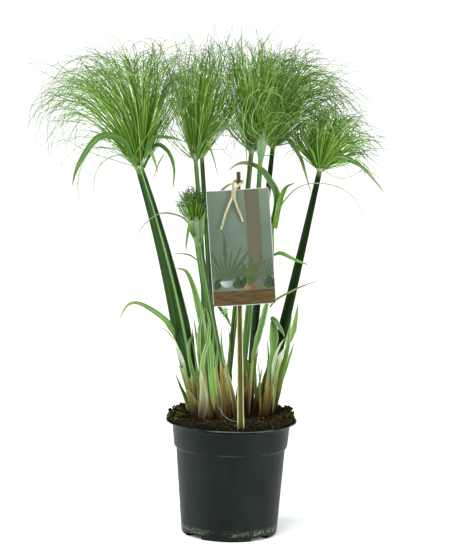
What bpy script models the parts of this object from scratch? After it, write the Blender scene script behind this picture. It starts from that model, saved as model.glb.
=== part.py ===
"""A potted papyrus plant: a clump of three-sided flower stems with mop heads of rays, in a nursery pot.

Units are metres and +Z is up. The origin is the middle of the pot's underside, at the ground, and the
plant's front, where the cane and its card stand, looks towards -Y. Hand-set points are in millimetres
and pass through mm(). Every piece keeps GAP to its neighbours.
"""

import math
import random

import bmesh
import bpy
from mathutils import Vector

# Driving dimensions of the pot.
RIM_RADIUS = 0.070
POT_HEIGHT = 0.123
FOOT_NOTCH = 0.0040

# Driving dimensions of the plant and of what is stuck in the soil.
SOIL_TOP = 0.1262
LEAF_THICKNESS = 0.0009
SHEATH_THICKNESS = 0.0010
CARD_WIDTH = 0.0655
CARD_HEIGHT = 0.1205
CARD_THICKNESS = 0.0008
GAP = 0.0003

UP = Vector((0, 0, 1))
FRONT = Vector((0, -1, 0))


def mm(point):
    """A point given in millimetres, in metres."""
    return Vector(point) * 0.001


# ---------------------------------------------------------------- shared modelling steps

for old in list(bpy.data.objects):
    bpy.data.objects.remove(old, do_unlink=True)

plant = bpy.data.objects.new("plant_frame", None)
bpy.context.scene.collection.objects.link(plant)

# Segments (start, end, radius) that the heads' locks keep clear of.
occupied = []


def material(name, colour, roughness):
    made = bpy.data.materials.new(name)
    made.use_nodes = True
    shader = made.node_tree.nodes["Principled BSDF"]
    shader.inputs["Base Color"].default_value = (*colour, 1)
    shader.inputs["Roughness"].default_value = roughness
    shader.inputs["Metallic"].default_value = 0
    made.diffuse_color = (*colour, 1)
    return made


PLASTIC = material("pot_plastic", (0.030, 0.036, 0.036), 0.45)
PEAT = material("peat", (0.030, 0.022, 0.012), 0.95)
DARK_STEM = material("dark_stem", (0.030, 0.110, 0.022), 0.40)
PALE_STEM = material("pale_stem", (0.140, 0.310, 0.110), 0.45)
LEAF = material("leaf", (0.120, 0.300, 0.060), 0.50)
RAYS = material("rays", (0.110, 0.270, 0.060), 0.60)
HUSK = material("husk", (0.330, 0.250, 0.110), 0.70)
CANE = material("cane", (0.380, 0.310, 0.160), 0.60)
CARD = material("card", (0.340, 0.380, 0.340), 0.40)
RAFFIA = material("raffia", (0.620, 0.560, 0.400), 0.80)


def finish(name, shape, finish_material, sharp_angle=40):
    """Turns a bmesh into the named object, with its faces pointing out."""
    bmesh.ops.recalc_face_normals(shape, faces=shape.faces)
    mesh = bpy.data.meshes.new(name)
    shape.to_mesh(mesh)
    shape.free()
    mesh.shade_smooth()
    mesh.set_sharp_from_angle(angle=math.radians(sharp_angle))
    mesh.materials.append(finish_material)
    made = bpy.data.objects.new(name, mesh)
    bpy.context.scene.collection.objects.link(made)
    made.parent = plant
    return made


def bridge(shape, first, second):
    """Quads between two closed rings of the same count."""
    count = len(first)
    for i in range(count):
        j = (i + 1) % count
        shape.faces.new((first[i], first[j], second[j], second[i]))


def loft(name, rings, finish_material):
    """One closed solid through rings of points, capped at both ends."""
    shape = bmesh.new()
    loops = [[shape.verts.new(point) for point in ring] for ring in rings]
    for lower, upper in zip(loops, loops[1:]):
        bridge(shape, lower, upper)
    shape.faces.new(loops[0])
    shape.faces.new(loops[-1])
    return finish(name, shape, finish_material)


def through(points, steps):
    """A smooth run of steps + 1 points through the given ones (Catmull-Rom)."""
    ends = [2 * points[0] - points[1], *points, 2 * points[-1] - points[-2]]
    spans = len(points) - 1
    path = []
    for k in range(steps + 1):
        place = min(k / steps * spans, spans - 1e-6)
        i = int(place)
        t = place - i
        a, b, c, d = ends[i : i + 4]
        path.append(
            0.5 * (2 * b + (c - a) * t + (2 * a - 5 * b + 4 * c - d) * t**2 + (3 * b - a - 3 * c + d) * t**3)
        )
    return path


def directions(path):
    """The travel direction at each point of a path."""
    before = [path[0], *path[:-1]]
    after = [*path[1:], path[-1]]
    return [(b - a).normalized() for a, b in zip(before, after)]


def keep_clear(path, radius):
    occupied.extend((a, b, radius) for a, b in zip(path, path[1:]))


def set_on_soil(ring):
    """Sets a shoot's first ring flat on the soil, where it starts that low."""
    if min(point.z for point in ring) < SOIL_TOP + 0.004:
        for point in ring:
            point.z = SOIL_TOP + GAP


def spindle(name, points, radii, finish_material, sides=6, steps=6):
    """A round tapering shoot through points, its radius going evenly through radii."""
    path = through([mm(p) for p in points], steps)
    rings = []
    for k, (centre, travel) in enumerate(zip(path, directions(path))):
        place = min(k / steps * (len(radii) - 1), len(radii) - 1 - 1e-6)
        i = int(place)
        radius = (radii[i] + (radii[i + 1] - radii[i]) * (place - i)) * 0.001
        across = travel.cross(FRONT).normalized()
        deep = across.cross(travel)
        turns = [math.tau * j / sides for j in range(sides)]
        rings.append([centre + radius * (math.cos(a) * across + math.sin(a) * deep) for a in turns])
    set_on_soil(rings[0])
    keep_clear(path, max(radii) * 0.001)
    return loft(name, rings, finish_material)


def blade(name, points, width, finish_material=LEAF, facing=(0, -0.8, 0.6), fold=0.16, steps=6, foot=0.5):
    """A strap leaf or bract through points: widest a third of the way, with a shallow keel and a fine tip.

    width is in millimetres, facing is the side that its upper face looks to, and foot is the share of
    its width at its base.
    """
    path = through([mm(p) for p in points], steps)
    rings = []
    for k, (centre, travel) in enumerate(zip(path, directions(path))):
        t = k / steps
        swell = foot + (1 - foot) * min(1, t / 0.3)
        half = 0.0005 * width * swell * (1 - t**2.4) + 0.00022
        thick = 0.5 * LEAF_THICKNESS * (1 - 0.6 * t)
        across = travel.cross(Vector(facing)).normalized()
        out = across.cross(travel)
        keel = centre - out * fold * half * 2
        rings.append([centre - across * half, keel + out * thick, centre + across * half, keel - out * thick])
    set_on_soil(rings[0])
    keep_clear(path, 0.0005 * width + 0.0003)
    return loft(name, rings, finish_material)


# ---------------------------------------------------------------- pot

# Half section of the pot, radius and height in millimetres, from the middle of the underside outwards,
# up the outside, over the lip and down the inside to the middle of the floor.
POT_SECTION = [
    (9.0, 0.0),
    (9.4, 4.0),
    (40.5, 4.0),
    (41.0, 0.0),
    (48.6, 0.0),
    (50.9, 1.6),
    (51.7, 7.0),
    (58.4, 93.2),
    (60.6, 95.0),
    (62.8, 116.5),
    (66.6, 120.9),
    (69.9, 121.7),
    (69.6, 123.0),
    (65.8, 122.1),
    (61.8, 118.4),
    (59.4, 96.2),
    (57.3, 94.4),
    (50.4, 8.0),
    (47.5, 5.4),
]
FOOT_HALF_ANGLE = 31
FOOT_TURN = -94
FOOT_RING = 0.0405


def pot_columns():
    """Angles round the pot, with whether each stands on a foot: four feet, four drainage notches."""
    columns = []
    for quarter in range(4):
        middle = FOOT_TURN + 90 * quarter
        columns += [(middle + FOOT_HALF_ANGLE * k / 2, True) for k in range(-2, 3)]
        first = middle + FOOT_HALF_ANGLE + 0.7
        last = middle + 90 - FOOT_HALF_ANGLE - 0.7
        columns += [(first + (last - first) * k / 2, False) for k in range(3)]
    return columns


def pot():
    shape = bmesh.new()
    loops = []
    for angle, on_foot in pot_columns():
        turn = math.radians(angle)
        column = []
        for radius, height in POT_SECTION:
            radius, height = radius * 0.001, height * 0.001
            if not on_foot and radius > FOOT_RING and height < FOOT_NOTCH:
                height = FOOT_NOTCH
            column.append(shape.verts.new((radius * math.cos(turn), radius * math.sin(turn), height)))
        loops.append(column)
    for left, right in zip(loops, loops[1:] + loops[:1]):
        for k in range(len(POT_SECTION) - 1):
            shape.faces.new((left[k], right[k], right[k + 1], left[k + 1]))
    shape.faces.new([column[0] for column in loops])
    shape.faces.new([column[-1] for column in loops])
    return finish("pot", shape, PLASTIC, sharp_angle=32)


pot()

# ---------------------------------------------------------------- soil

# The soil's edge inside the pot, radius and height in millimetres: up the wall, out over the lip.
SOIL_SIDE = [(46.8, 6.0), (49.9, 8.8), (56.7, 94.9), (58.9, 96.7), (61.2, 118.7), (65.6, 122.6)]
SOIL_COLUMNS = 24
SOIL_EDGE = 0.0674
SOIL_RINGS = (0.0655, 0.0590, 0.0525, 0.0340, 0.0160)


def soil_height(x, y):
    """Height of the heaped soil: level with the lip in front, flat under the clump, lumpy at its edge."""
    radius = math.hypot(x, y) / RIM_RADIUS
    back = 0.5 + 0.5 * max(-1, min(1, (y + 0.050) / 0.014))
    lumps = math.sin(x * 260 + 1.1) * math.sin(y * 310 + 0.4) + 0.6 * math.sin(x * 520 - y * 430)
    edge = max(0, min(1, (radius - 0.76) / 0.08))
    level = 0.1234 + (SOIL_TOP - 0.1234) * back
    return level + edge * back * (0.0008 + 0.0010 * lumps)


def soil():
    shape = bmesh.new()
    turns = [math.tau * k / SOIL_COLUMNS for k in range(SOIL_COLUMNS)]
    loops = []
    for radius, height in SOIL_SIDE:
        ring = [mm((radius * math.cos(a), radius * math.sin(a), height)) for a in turns]
        loops.append([shape.verts.new(point) for point in ring])
    edge = [(SOIL_EDGE * math.cos(a), SOIL_EDGE * math.sin(a)) for a in turns]
    loops.append([shape.verts.new((x, y, 0.5 * (soil_height(x, y) + POT_HEIGHT + GAP))) for x, y in edge])
    for radius in SOIL_RINGS:
        ring = [(radius * math.cos(a), radius * math.sin(a)) for a in turns]
        loops.append([shape.verts.new((x, y, soil_height(x, y))) for x, y in ring])
    for lower, upper in zip(loops, loops[1:]):
        bridge(shape, lower, upper)
    shape.faces.new(loops[0])
    middle = shape.verts.new((0, 0, soil_height(0, 0)))
    inner = loops[-1]
    for i, corner in enumerate(inner):
        shape.faces.new((corner, inner[(i + 1) % SOIL_COLUMNS], middle))
    return finish("soil", shape, PEAT, sharp_angle=60)


soil()

# ---------------------------------------------------------------- culms and their sheaths

# One row for each stem, in millimetres: its foot on the soil, its crown under the head, how far its
# middle bows out, and its radius at the foot, at the belly and at the crown.
CULMS = {
    "culm_a": ((-40, -12), (-102, -12, 393), (4.5, 0), (6.0, 9.9, 4.3), DARK_STEM),
    "culm_b1": ((-27, -4), (-43, -5, 402), (3, 0), (2.9, 3.1, 2.3), PALE_STEM),
    "culm_b2": ((-14, 22), (-37, 35, 402), (0, 0), (2.9, 3.1, 2.3), DARK_STEM),
    "culm_c1": ((-6, 44), (16, 0, 411), (0, 0), (2.9, 3.2, 2.6), PALE_STEM),
    "culm_c2": ((7, 2), (25, -28, 403), (1, 0), (2.6, 3.0, 2.2), PALE_STEM),
    "culm_c3": ((18, 22), (39, 35, 414), (-1, 0), (3.1, 3.6, 2.3), DARK_STEM),
    "culm_d": ((33.5, 5), (87.8, -20, 395), (1, 0), (3.8, 5.5, 2.8), DARK_STEM),
    "culm_e": ((-2, 13), (-38, -35, 318), (-1, -12), (5.2, 5.4, 4.0), PALE_STEM),
}
BELLY = 0.38
CULM_SIDES = 9
CULM_STEPS = 6
# How far the corners of the three-sided stem stand out, and where one of them points.
CORNER = 0.12
CORNER_TURN = math.radians(-62)


def culm_axis(name, t):
    """The stem's centre at t, from 0 at its foot to 1 at its crown."""
    (foot_x, foot_y), crown, (bow_x, bow_y), _, _ = CULMS[name]
    foot = mm((foot_x, foot_y, 0)) + UP * (SOIL_TOP + GAP)
    return foot.lerp(mm(crown), t) + mm((bow_x, bow_y, 0)) * 4 * t * (1 - t)


def culm_radius(name, t):
    foot, belly, crown = (r * 0.001 for r in CULMS[name][3])
    if t < BELLY:
        return foot + (belly - foot) * math.sin(0.5 * math.pi * t / BELLY)
    return belly + (crown - belly) * (t - BELLY) / (1 - BELLY)


def culm_point(name, t, turn, extra=0.0):
    """A point of the stem's surface, or as far outside it as extra says."""
    travel = (culm_axis(name, t + 0.01) - culm_axis(name, t - 0.01)).normalized()
    across = travel.cross(FRONT).normalized()
    deep = travel.cross(across)
    radius = culm_radius(name, t) * (1 + CORNER * math.cos(3 * (turn - CORNER_TURN))) + extra
    point = culm_axis(name, t) + radius * (math.cos(turn) * across + math.sin(turn) * deep)
    if t <= 0:
        point.z = SOIL_TOP + GAP
    return point


def at_crown(name, turn, below=1.5):
    """A bract's first point, in millimetres: just off the stem, a little below its crown."""
    t = 1 - below / (CULMS[name][1][2] - SOIL_TOP * 1000)
    return culm_point(name, t, math.radians(turn), 0.0009) * 1000


def culm(name):
    turns = [math.tau * j / CULM_SIDES for j in range(CULM_SIDES)]
    steps = [k / CULM_STEPS for k in range(CULM_STEPS + 1)]
    keep_clear([culm_axis(name, t) for t in steps], culm_radius(name, BELLY))
    return loft(name, [[culm_point(name, t, a) for a in turns] for t in steps], CULMS[name][4])


for culm_name in CULMS:
    culm(culm_name)

# Height in millimetres over the soil of each sheath's low side and of its torn tip, and the angle, in
# degrees from +X turning towards +Y, that the tip stands at.
SHEATHS = {
    "culm_a": (60, 92, 190),
    "culm_b1": (36, 60, -70),
    "culm_b2": (30, 48, 200),
    "culm_c1": (26, 40, 90),
    "culm_c2": (30, 46, 60),
    "culm_c3": (50, 68, -20),
    "culm_d": (52, 84, -20),
    "culm_e": (36, 56, -150),
}
SHEATH_STEPS = 2


def sheath(culm_name, low, tip, tip_turn):
    """A sleeve that wraps the foot of a stem, with a slanting mouth drawn out to a tip."""
    length = CULMS[culm_name][1][2] - SOIL_TOP * 1000
    shape = bmesh.new()
    loops = []
    for inside in (False, True):
        for k in range(SHEATH_STEPS + 1):
            share = k / SHEATH_STEPS
            ring = []
            for j in range(CULM_SIDES):
                turn = math.tau * j / CULM_SIDES
                lift = (0.5 + 0.5 * math.cos(turn - math.radians(tip_turn))) ** 2
                height = share * (low + (tip - low) * lift)
                extra = 2 * GAP if inside else 2 * GAP + SHEATH_THICKNESS * (1.3 - 0.6 * share)
                ring.append(shape.verts.new(culm_point(culm_name, height / length, turn, extra)))
            loops.append(ring)
    outer, inner = loops[: SHEATH_STEPS + 1], loops[SHEATH_STEPS + 1 :]
    for lower, upper in zip(outer, outer[1:]):
        bridge(shape, lower, upper)
    for lower, upper in zip(inner, inner[1:]):
        bridge(shape, upper, lower)
    bridge(shape, outer[-1], inner[-1])
    bridge(shape, inner[0], outer[0])
    return finish("sheath" + culm_name.removeprefix("culm"), shape, HUSK)


for culm_name, (low_side, torn_tip, tip_angle) in SHEATHS.items():
    sheath(culm_name, low_side, torn_tip, tip_angle)

# ---------------------------------------------------------------- cane, card and raffia tie

CANE_FOOT = mm((10.0, -61.0, 124.3))
CANE_HEAD = mm((2.0, -52.0, 393.0))
CANE_RADIUS = (0.0036, 0.0022)
CANE_WALL = 0.0011
# Height of the cane's one joint over its foot, and how far the joint stands out.
CANE_JOINT = 0.0075
JOINT_SWELL = 0.0003


def cane():
    """A split cane, hollow side to the front: a gutter that tapers upwards, with one joint low down."""
    length = CANE_HEAD.z - CANE_FOOT.z
    levels = [0, CANE_JOINT - 0.002, CANE_JOINT, CANE_JOINT + 0.002, 0.12, length]
    turns = [math.radians(-14 + 208 * k / 5) for k in range(6)]
    rings = []
    for level in levels:
        t = level / length
        centre = CANE_FOOT.lerp(CANE_HEAD, t)
        radius = CANE_RADIUS[0] + (CANE_RADIUS[1] - CANE_RADIUS[0]) * t
        if level == CANE_JOINT:
            radius += JOINT_SWELL
        outer = [centre + radius * Vector((math.cos(a), math.sin(a), 0)) for a in turns]
        inside = radius - CANE_WALL * (1 - 0.35 * t)
        inner = [centre + inside * Vector((math.cos(a), math.sin(a), 0)) for a in reversed(turns)]
        rings.append(outer + inner)
    keep_clear([CANE_FOOT, CANE_HEAD], CANE_RADIUS[0])
    return loft("cane", rings, CANE)


cane()

# The card hangs a little turned, with its top nearer the cane than its foot.
CARD_CENTRE = mm((6.4, -55.2, 315.0))
CARD_ROLL = math.radians(4.9)
CARD_PITCH = math.radians(1.6)
CARD_BOW = 0.0022


def card_point(across, height, depth):
    """A point of the card: across and height from its middle, depth towards the front."""
    bow = CARD_BOW * (1 - (2 * across / CARD_WIDTH) ** 2)
    out = depth + bow - height * math.sin(CARD_PITCH)
    x = across * math.cos(CARD_ROLL) - height * math.sin(CARD_ROLL)
    z = across * math.sin(CARD_ROLL) + height * math.cos(CARD_ROLL)
    return CARD_CENTRE + Vector((x, -out, z))


def card():
    rings = []
    for k in range(9):
        across = CARD_WIDTH * (k / 8 - 0.5)
        half = 0.5 * CARD_HEIGHT
        thick = 0.5 * CARD_THICKNESS
        corners = ((-half, -thick), (half, -thick), (half, thick), (-half, thick))
        rings.append([card_point(across, height, depth) for height, depth in corners])
    return loft("card", rings, CARD)


card()

# The raffia passes over the card's top edge, round the cane, and its two tails hang in front.
TIE_POINTS = [
    (-13, -58.4, 332),
    (-8, -58.5, 352),
    (-3.4, -58.1, 370),
    (-2.4, -57.6, 379.0),
    (-2.6, -55.2, 382.2),
    (-1.9, -49.9, 383.2),
    (2.3, -47.6, 383.4),
    (6.4, -50.0, 383.2),
    (6.6, -55.2, 382.2),
    (4.6, -57.6, 379.0),
    (3.4, -58.1, 370),
    (5.5, -58.5, 354),
    (9, -58.6, 341),
]
TIE_RADIUS = 0.9


def tie():
    return spindle("tie", TIE_POINTS, (TIE_RADIUS, TIE_RADIUS), RAFFIA, sides=4, steps=18)


tie()

# ---------------------------------------------------------------- bracts under the heads

blade("bract_a_broad", [at_crown("culm_a", -140), (-116, -30, 421), (-133, -40, 431), (-146, -46, 426),
                        (-158, -50, 408), (-166, -52, 390), (-170, -53, 374)], 9, foot=0.2)
blade("bract_a_thin", [at_crown("culm_a", -100, 4), (-112, -30, 403), (-127, -43, 406), (-141, -51, 397),
                       (-147, -55, 380), (-147, -57, 354)], 2.4)
blade("bract_a_back", [at_crown("culm_a", 160), (-126, 16, 416), (-148, 28, 416), (-164, 31, 392),
                       (-169, 32, 366), (-164, 32, 337)], 3.2)
blade("bract_a_right", [at_crown("culm_a", -55), (-88, -32, 423), (-70, -40, 426), (-52, -44, 422)], 5, foot=0.3)
blade("bract_a_down", [at_crown("culm_a", -10, 3), (-86, -22, 416), (-72, -29, 411), (-65, -34, 393),
                       (-66, -36, 370)], 5, foot=0.3)
blade("bract_b_right", [at_crown("culm_b1", -50), (-32, -28, 424), (-20, -40, 434), (-7, -47, 441), (3, -52, 438),
                        (9, -55, 419), (11, -57, 397)], 4.4, foot=0.3)
blade("bract_b_down", [at_crown("culm_b1", -120, 4), (-33, -31, 423), (-25, -37, 408), (-19, -38, 386)], 2.6)
blade("bract_c_down", [at_crown("culm_c3", -60), (51, 16, 424), (60, 6, 416), (68, 2, 403), (73, 0, 388),
                       (80, -2, 366)], 5, foot=0.3)
blade("bract_d_right", [at_crown("culm_d", -45), (99, -31, 406), (109, -36, 409), (121, -40, 405),
                        (134, -43, 396), (156, -46, 371)], 6, foot=0.3)
blade("bract_e_long", [(-44.8, -37.4, 326), (-51, -43, 340), (-63, -49, 347), (-79, -53, 348), (-94, -56, 337),
                       (-104, -57, 322)], 2.6)
blade("bract_e_down", [(-41.5, -40.5, 324), (-47, -47, 335), (-50, -50, 322), (-51, -52, 306)], 3.6)
blade("bract_e_right", [(-31.6, -35.4, 331), (-26, -38, 352), (-18, -42, 368), (-8, -43.5, 378), (8, -44, 384)], 4)

# ---------------------------------------------------------------- leaves of the clump

blade("leaf_bent", [(-54, -22.6, 186), (-59, -26, 208), (-68, -28, 226), (-86, -31, 244), (-101, -33, 251),
                    (-112, -35, 248), (-121, -36, 231)], 7)
blade("leaf_hook", [(-27, -19, 130), (-33, -24, 179), (-38, -26, 223), (-43, -29, 262), (-50, -32, 288),
                    (-63, -36, 289)], 7, facing=(0, -1, 0.2))
blade("leaf_clump_left", [(-34, -22, 128), (-37, -27, 170), (-40, -31, 205), (-37, -34, 232), (-28, -38, 245)], 6,
      facing=(0.2, -1, 0))
blade("leaf_clump_right", [(-21, -17, 128), (-21, -22, 160), (-26, -27, 190), (-30, -32, 215), (-36, -37, 233)], 6,
      facing=(0.3, -1, 0))
blade("leaf_arched", [(-41, -23, 128), (-47, -27, 168), (-51, -30, 200), (-50, -32, 217), (-44, -34, 223)], 4,
      facing=(0, -1, 0.2))
blade("leaf_front", [(-12, -13, 128), (-15, -20, 158), (-22, -27, 186), (-24, -32, 214), (-22, -36, 238)], 5,
      facing=(0.2, -1, 0))

spindle("spike_left", [(-47, 14, 128), (-51, 13, 145), (-56, 12, 158), (-61, 11, 170)], (3.2, 2.4, 0.4), HUSK)
spindle("shoot_brown", [(24, 3, 128.5), (26, 2, 142), (29, 1, 160), (32, 0, 180)], (3.0, 2.8, 1.4, 0.4), HUSK)
spindle("shoot_green", [(44.5, 19.5, 128.5), (50, 18, 152), (55, 17, 175), (61, 14, 206)], (3.4, 3.0, 2.2, 1.2), LEAF)
blade("shoot_green_leaf", [(61.2, 14, 206.9), (65, 12.6, 220), (67, 11.6, 232), (69, 10, 248)], 6,
      facing=(0, -1, 0.1))
blade("leaf_folded", [(37, -6, 128), (39, -9, 160), (42, -11, 190), (43, -12, 216), (42.5, -13, 236)], 10,
      facing=(0.2, -1, 0))

spindle("shoot_g", [(26, -6, 128), (27, -8, 167), (28, -9, 196), (33, -12, 227), (38, -14, 255), (40, -15, 297),
                    (39, -15, 336)], (2.0, 2.0, 1.8, 1.6), PALE_STEM, steps=9)
blade("leaf_g_top", [(39.2, -15, 336.9), (43, -15, 355), (43, -15, 369), (37, -15, 383), (29, -17, 393),
                     (15, -20, 400), (2, -24, 399), (-10, -28, 391)], 7, steps=8, facing=(0.3, -0.9, 0.3))
blade("leaf_g_right", [(41.5, -16.6, 331), (46, -18, 358), (52, -22, 374), (62, -28, 381)], 4.4)
blade("leaf_g_arc", [(39.6, -17.7, 326), (45, -25, 352), (66, -35, 377), (96, -42, 381), (123, -46, 367),
                     (140, -48, 329)], 2.0)
blade("leaf_g_low", [(41.7, -16.4, 303), (49, -21, 305), (67, -28, 298), (77, -31, 295)], 5)
blade("leaf_g_thin", [(38.2, -16.1, 247), (46, -23, 257), (67, -31, 270), (90, -36, 280)], 3)

# ---------------------------------------------------------------- heads of rays

# A hub is a ball whose facets crowd towards the top: those down to HUB_EDGE move up to HUB_TOP, both
# measured from straight up.
HUB_EDGE = math.radians(128)
HUB_TOP = math.radians(76)
HUB_CROWDING = HUB_TOP / HUB_EDGE
HUB_REST = (math.pi - HUB_TOP) / (math.pi - HUB_EDGE)
# A lock's thickness at its two bends, the most that it is as a share of its distance from the hub, so
# that crowded locks stay apart, and the shares of its length that are tried where another piece is in
# its way.
LOCK_TAPER = (1.0, 0.62)
LOCK_CROWDING = 0.10
LOCK_LENGTHS = (1, 0.8, 0.6, 0.42)


def segment_distance(p, a, b):
    """Distance from p to the segment from a to b."""
    run = b - a
    t = max(0.0, min(1.0, (p - a).dot(run) / run.length_squared))
    return (p - a - run * t).length


def clear_of_all(path, radius, skip_near):
    """Whether a lock stays off every occupied segment, past skip_near from its own root."""
    for p, q in zip(path, path[1:]):
        for share in (0.25, 0.5, 0.75, 1.0):
            point = p.lerp(q, share)
            if (point - path[0]).length < skip_near:
                continue
            if any(segment_distance(point, a, b) < radius + r for a, b, r in occupied):
                return False
    return True


def lock_path(hub, way, reach, droop):
    """Root, two bends and tip of a lock that leaves the hub towards way and arches outwards.

    reach is how far the head goes to -X, +X, -Y, +Y and up, from the hub.
    """
    to_x = reach[1] if way.x > 0 else reach[0]
    to_y = reach[3] if way.y > 0 else reach[2]
    length = 1 / math.sqrt((way.x / to_x) ** 2 + (way.y / to_y) ** 2 + (way.z / reach[4]) ** 2)
    tip = hub + way * length
    spread = math.hypot(tip.x - hub.x, tip.y - hub.y)
    tip.z -= droop * spread
    knee = hub + (way + UP * 0.5).normalized() * length * 0.62
    return [(1 - t) ** 2 * hub + 2 * t * (1 - t) * knee + t**2 * tip for t in (0.0, 0.42, 0.78, 1.0)]


def umbel(name, hub, reach, walls, locks, hub_radius=5.2, lock_radius=2.6, droop=0.20, seed=1, lowest=0.22):
    """A mop head: a small hub whose upper facets are drawn out into curved, tapering locks.

    walls are (point, outward direction) planes that the head stays behind, where it meets its
    neighbours. locks is how many facets are drawn out, from the top down.
    """
    chance = random.Random(seed)
    hub, reach = mm(hub), [r * 0.001 for r in reach]
    ball, thick = hub_radius * 0.001, lock_radius * 0.001
    shape = bmesh.new()
    bmesh.ops.create_icosphere(shape, subdivisions=2, radius=ball)
    for vert in shape.verts:
        polar = vert.co.angle(UP)
        turned = polar * HUB_CROWDING if polar < HUB_EDGE else math.pi - (math.pi - polar) * HUB_REST
        around = Vector((vert.co.x, vert.co.y, 0)).normalized()
        vert.co = hub + (around * math.sin(turned) + UP * math.cos(turned)) * ball
    shape.faces.ensure_lookup_table()
    facets = sorted(shape.faces, key=lambda f: -(f.calc_center_median() - hub).normalized().z)
    made = 0
    for facet in facets:
        root = facet.calc_center_median()
        way = (root - hub).normalized()
        if made >= locks or way.z < lowest:
            break
        way = (way + Vector([chance.uniform(-0.05, 0.05) for _ in range(3)])).normalized()
        arch = lock_path(hub, way, reach, droop)[1:]
        for point, outward in walls:
            room = (mm(point) - hub).dot(Vector(outward)) - thick - 2 * GAP
            need = max((p - hub).dot(Vector(outward)) for p in arch)
            if need > room:
                arch = [hub + (p - hub) * room / need for p in arch]
        for share in LOCK_LENGTHS:
            path = [root] + [hub + (p - hub) * share for p in arch]
            if clear_of_all(path, thick + 2 * GAP, 1.2 * ball):
                break
        else:
            continue
        made += 1
        corners = list(facet.verts)
        rings = [corners]
        ways = directions(path)
        for k, size in enumerate(LOCK_TAPER, start=1):
            ring = []
            wide = min(thick * size, LOCK_CROWDING * (path[k] - hub).length)
            for corner in corners:
                side = corner.co - root
                side -= ways[k] * side.dot(ways[k])
                ring.append(shape.verts.new(path[k] + side.normalized() * wide))
            rings.append(ring)
        tip = shape.verts.new(path[3])
        shape.faces.remove(facet)
        for lower, upper in zip(rings, rings[1:]):
            bridge(shape, lower, upper)
        last = rings[-1]
        for i in range(3):
            shape.faces.new((last[i], last[(i + 1) % 3], tip))
    return finish(name, shape, RAYS, sharp_angle=50)


# Planes where neighbouring heads meet: A and B, the two Bs, B and C, the two Cs, C and D.
A_TO_B = ((-68, 0, 450), (1, 0, 0))
B_TO_A = ((-68, 0, 450), (-1, 0, 0))
B1_TO_B2 = ((0, 15, 450), (0, 1, 0))
B2_TO_B1 = ((0, 15, 450), (0, -1, 0))
B_TO_C = ((-10, 0, 450), (1, 0, 0))
C_TO_B = ((-10, 0, 450), (-1, 0, 0))
C1_TO_C3 = ((27.5, 17.5, 450), (0.55, 0.835, 0))
C3_TO_C1 = ((27.5, 17.5, 450), (-0.55, -0.835, 0))
C1_TO_D = ((54, 0, 450), (1, 0, 0))
D_TO_C1 = ((54, 0, 450), (-1, 0, 0))
C3_TO_D = ((0, 6, 450), (0, -1, 0))
D_TO_C3 = ((0, 6, 450), (0, 1, 0))

umbel("umbel_a", (-102, -12, 398.8), (142, 44, 95, 95, 140), [A_TO_B], 46, seed=3)
umbel("umbel_b1", (-43, -5, 407.8), (60, 60, 84, 60, 150), [B_TO_A, B1_TO_B2, B_TO_C], 38, seed=6)
umbel("umbel_b2", (-37, 35, 407.8), (60, 60, 60, 90, 146), [B_TO_A, B2_TO_B1, B_TO_C], 33, seed=8)
umbel("umbel_c1", (16, 0, 416.8), (60, 60, 92, 60, 138), [C_TO_B, C1_TO_C3, C1_TO_D], 38, seed=9)
umbel("umbel_c3", (39, 35, 419.8), (60, 116, 60, 90, 128), [C_TO_B, C3_TO_C1, C3_TO_D], 44, seed=11)
umbel("umbel_d", (87.8, -20, 400.8), (40, 80, 78, 60, 84), [D_TO_C1, D_TO_C3], 40, droop=0.10, seed=2)

# ---------------------------------------------------------------- young heads

spindle("cup_e", [(-38, -35, 318.6), (-39, -34.6, 328), (-40, -34.2, 338), (-40, -34, 345)],
        (4.2, 6.0, 6.3, 5.2), PALE_STEM, sides=8)
umbel("umbel_e", (-40, -34, 350), (30, 15, 18, 18, 27), [], 16, hub_radius=4.2, lock_radius=1.3, droop=0.0,
      seed=12)
spindle("bud_c2", [(25, -28, 403.6), (25.2, -28.3, 412), (25.4, -28.6, 421), (25.6, -29, 432)],
        (2.4, 4.9, 4.4, 1.2), PALE_STEM, sides=8)
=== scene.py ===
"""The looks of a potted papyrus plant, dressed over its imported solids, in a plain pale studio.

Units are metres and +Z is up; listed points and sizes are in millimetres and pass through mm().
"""

import math

import bmesh
import bpy
import numpy as np
from mathutils import Matrix, Vector, noise


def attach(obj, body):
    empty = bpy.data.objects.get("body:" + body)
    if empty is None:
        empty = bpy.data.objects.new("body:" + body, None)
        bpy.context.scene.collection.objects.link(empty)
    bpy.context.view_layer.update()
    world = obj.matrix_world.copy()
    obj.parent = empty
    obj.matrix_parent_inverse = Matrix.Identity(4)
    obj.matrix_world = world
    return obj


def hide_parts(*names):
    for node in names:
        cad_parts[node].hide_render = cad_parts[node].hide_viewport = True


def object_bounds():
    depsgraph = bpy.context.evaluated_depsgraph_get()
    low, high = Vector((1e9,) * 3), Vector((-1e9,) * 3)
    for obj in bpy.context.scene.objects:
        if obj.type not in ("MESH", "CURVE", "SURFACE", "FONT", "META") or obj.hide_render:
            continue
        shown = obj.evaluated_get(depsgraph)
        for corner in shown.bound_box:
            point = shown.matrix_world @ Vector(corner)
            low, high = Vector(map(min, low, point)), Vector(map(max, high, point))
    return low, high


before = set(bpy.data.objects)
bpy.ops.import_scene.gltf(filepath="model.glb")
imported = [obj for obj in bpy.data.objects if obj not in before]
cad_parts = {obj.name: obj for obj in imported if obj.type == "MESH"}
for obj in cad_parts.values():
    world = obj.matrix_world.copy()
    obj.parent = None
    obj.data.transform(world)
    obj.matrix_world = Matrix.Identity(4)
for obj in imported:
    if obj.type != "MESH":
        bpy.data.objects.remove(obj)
cad_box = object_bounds()

# ---------------------------------------------------------------- studio
# A pale, level studio floor that runs out to a bright horizon, under one big soft overhead light, a
# softer front light, and a tall strip at each side that draws the long highlights on stems and pot.

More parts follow.
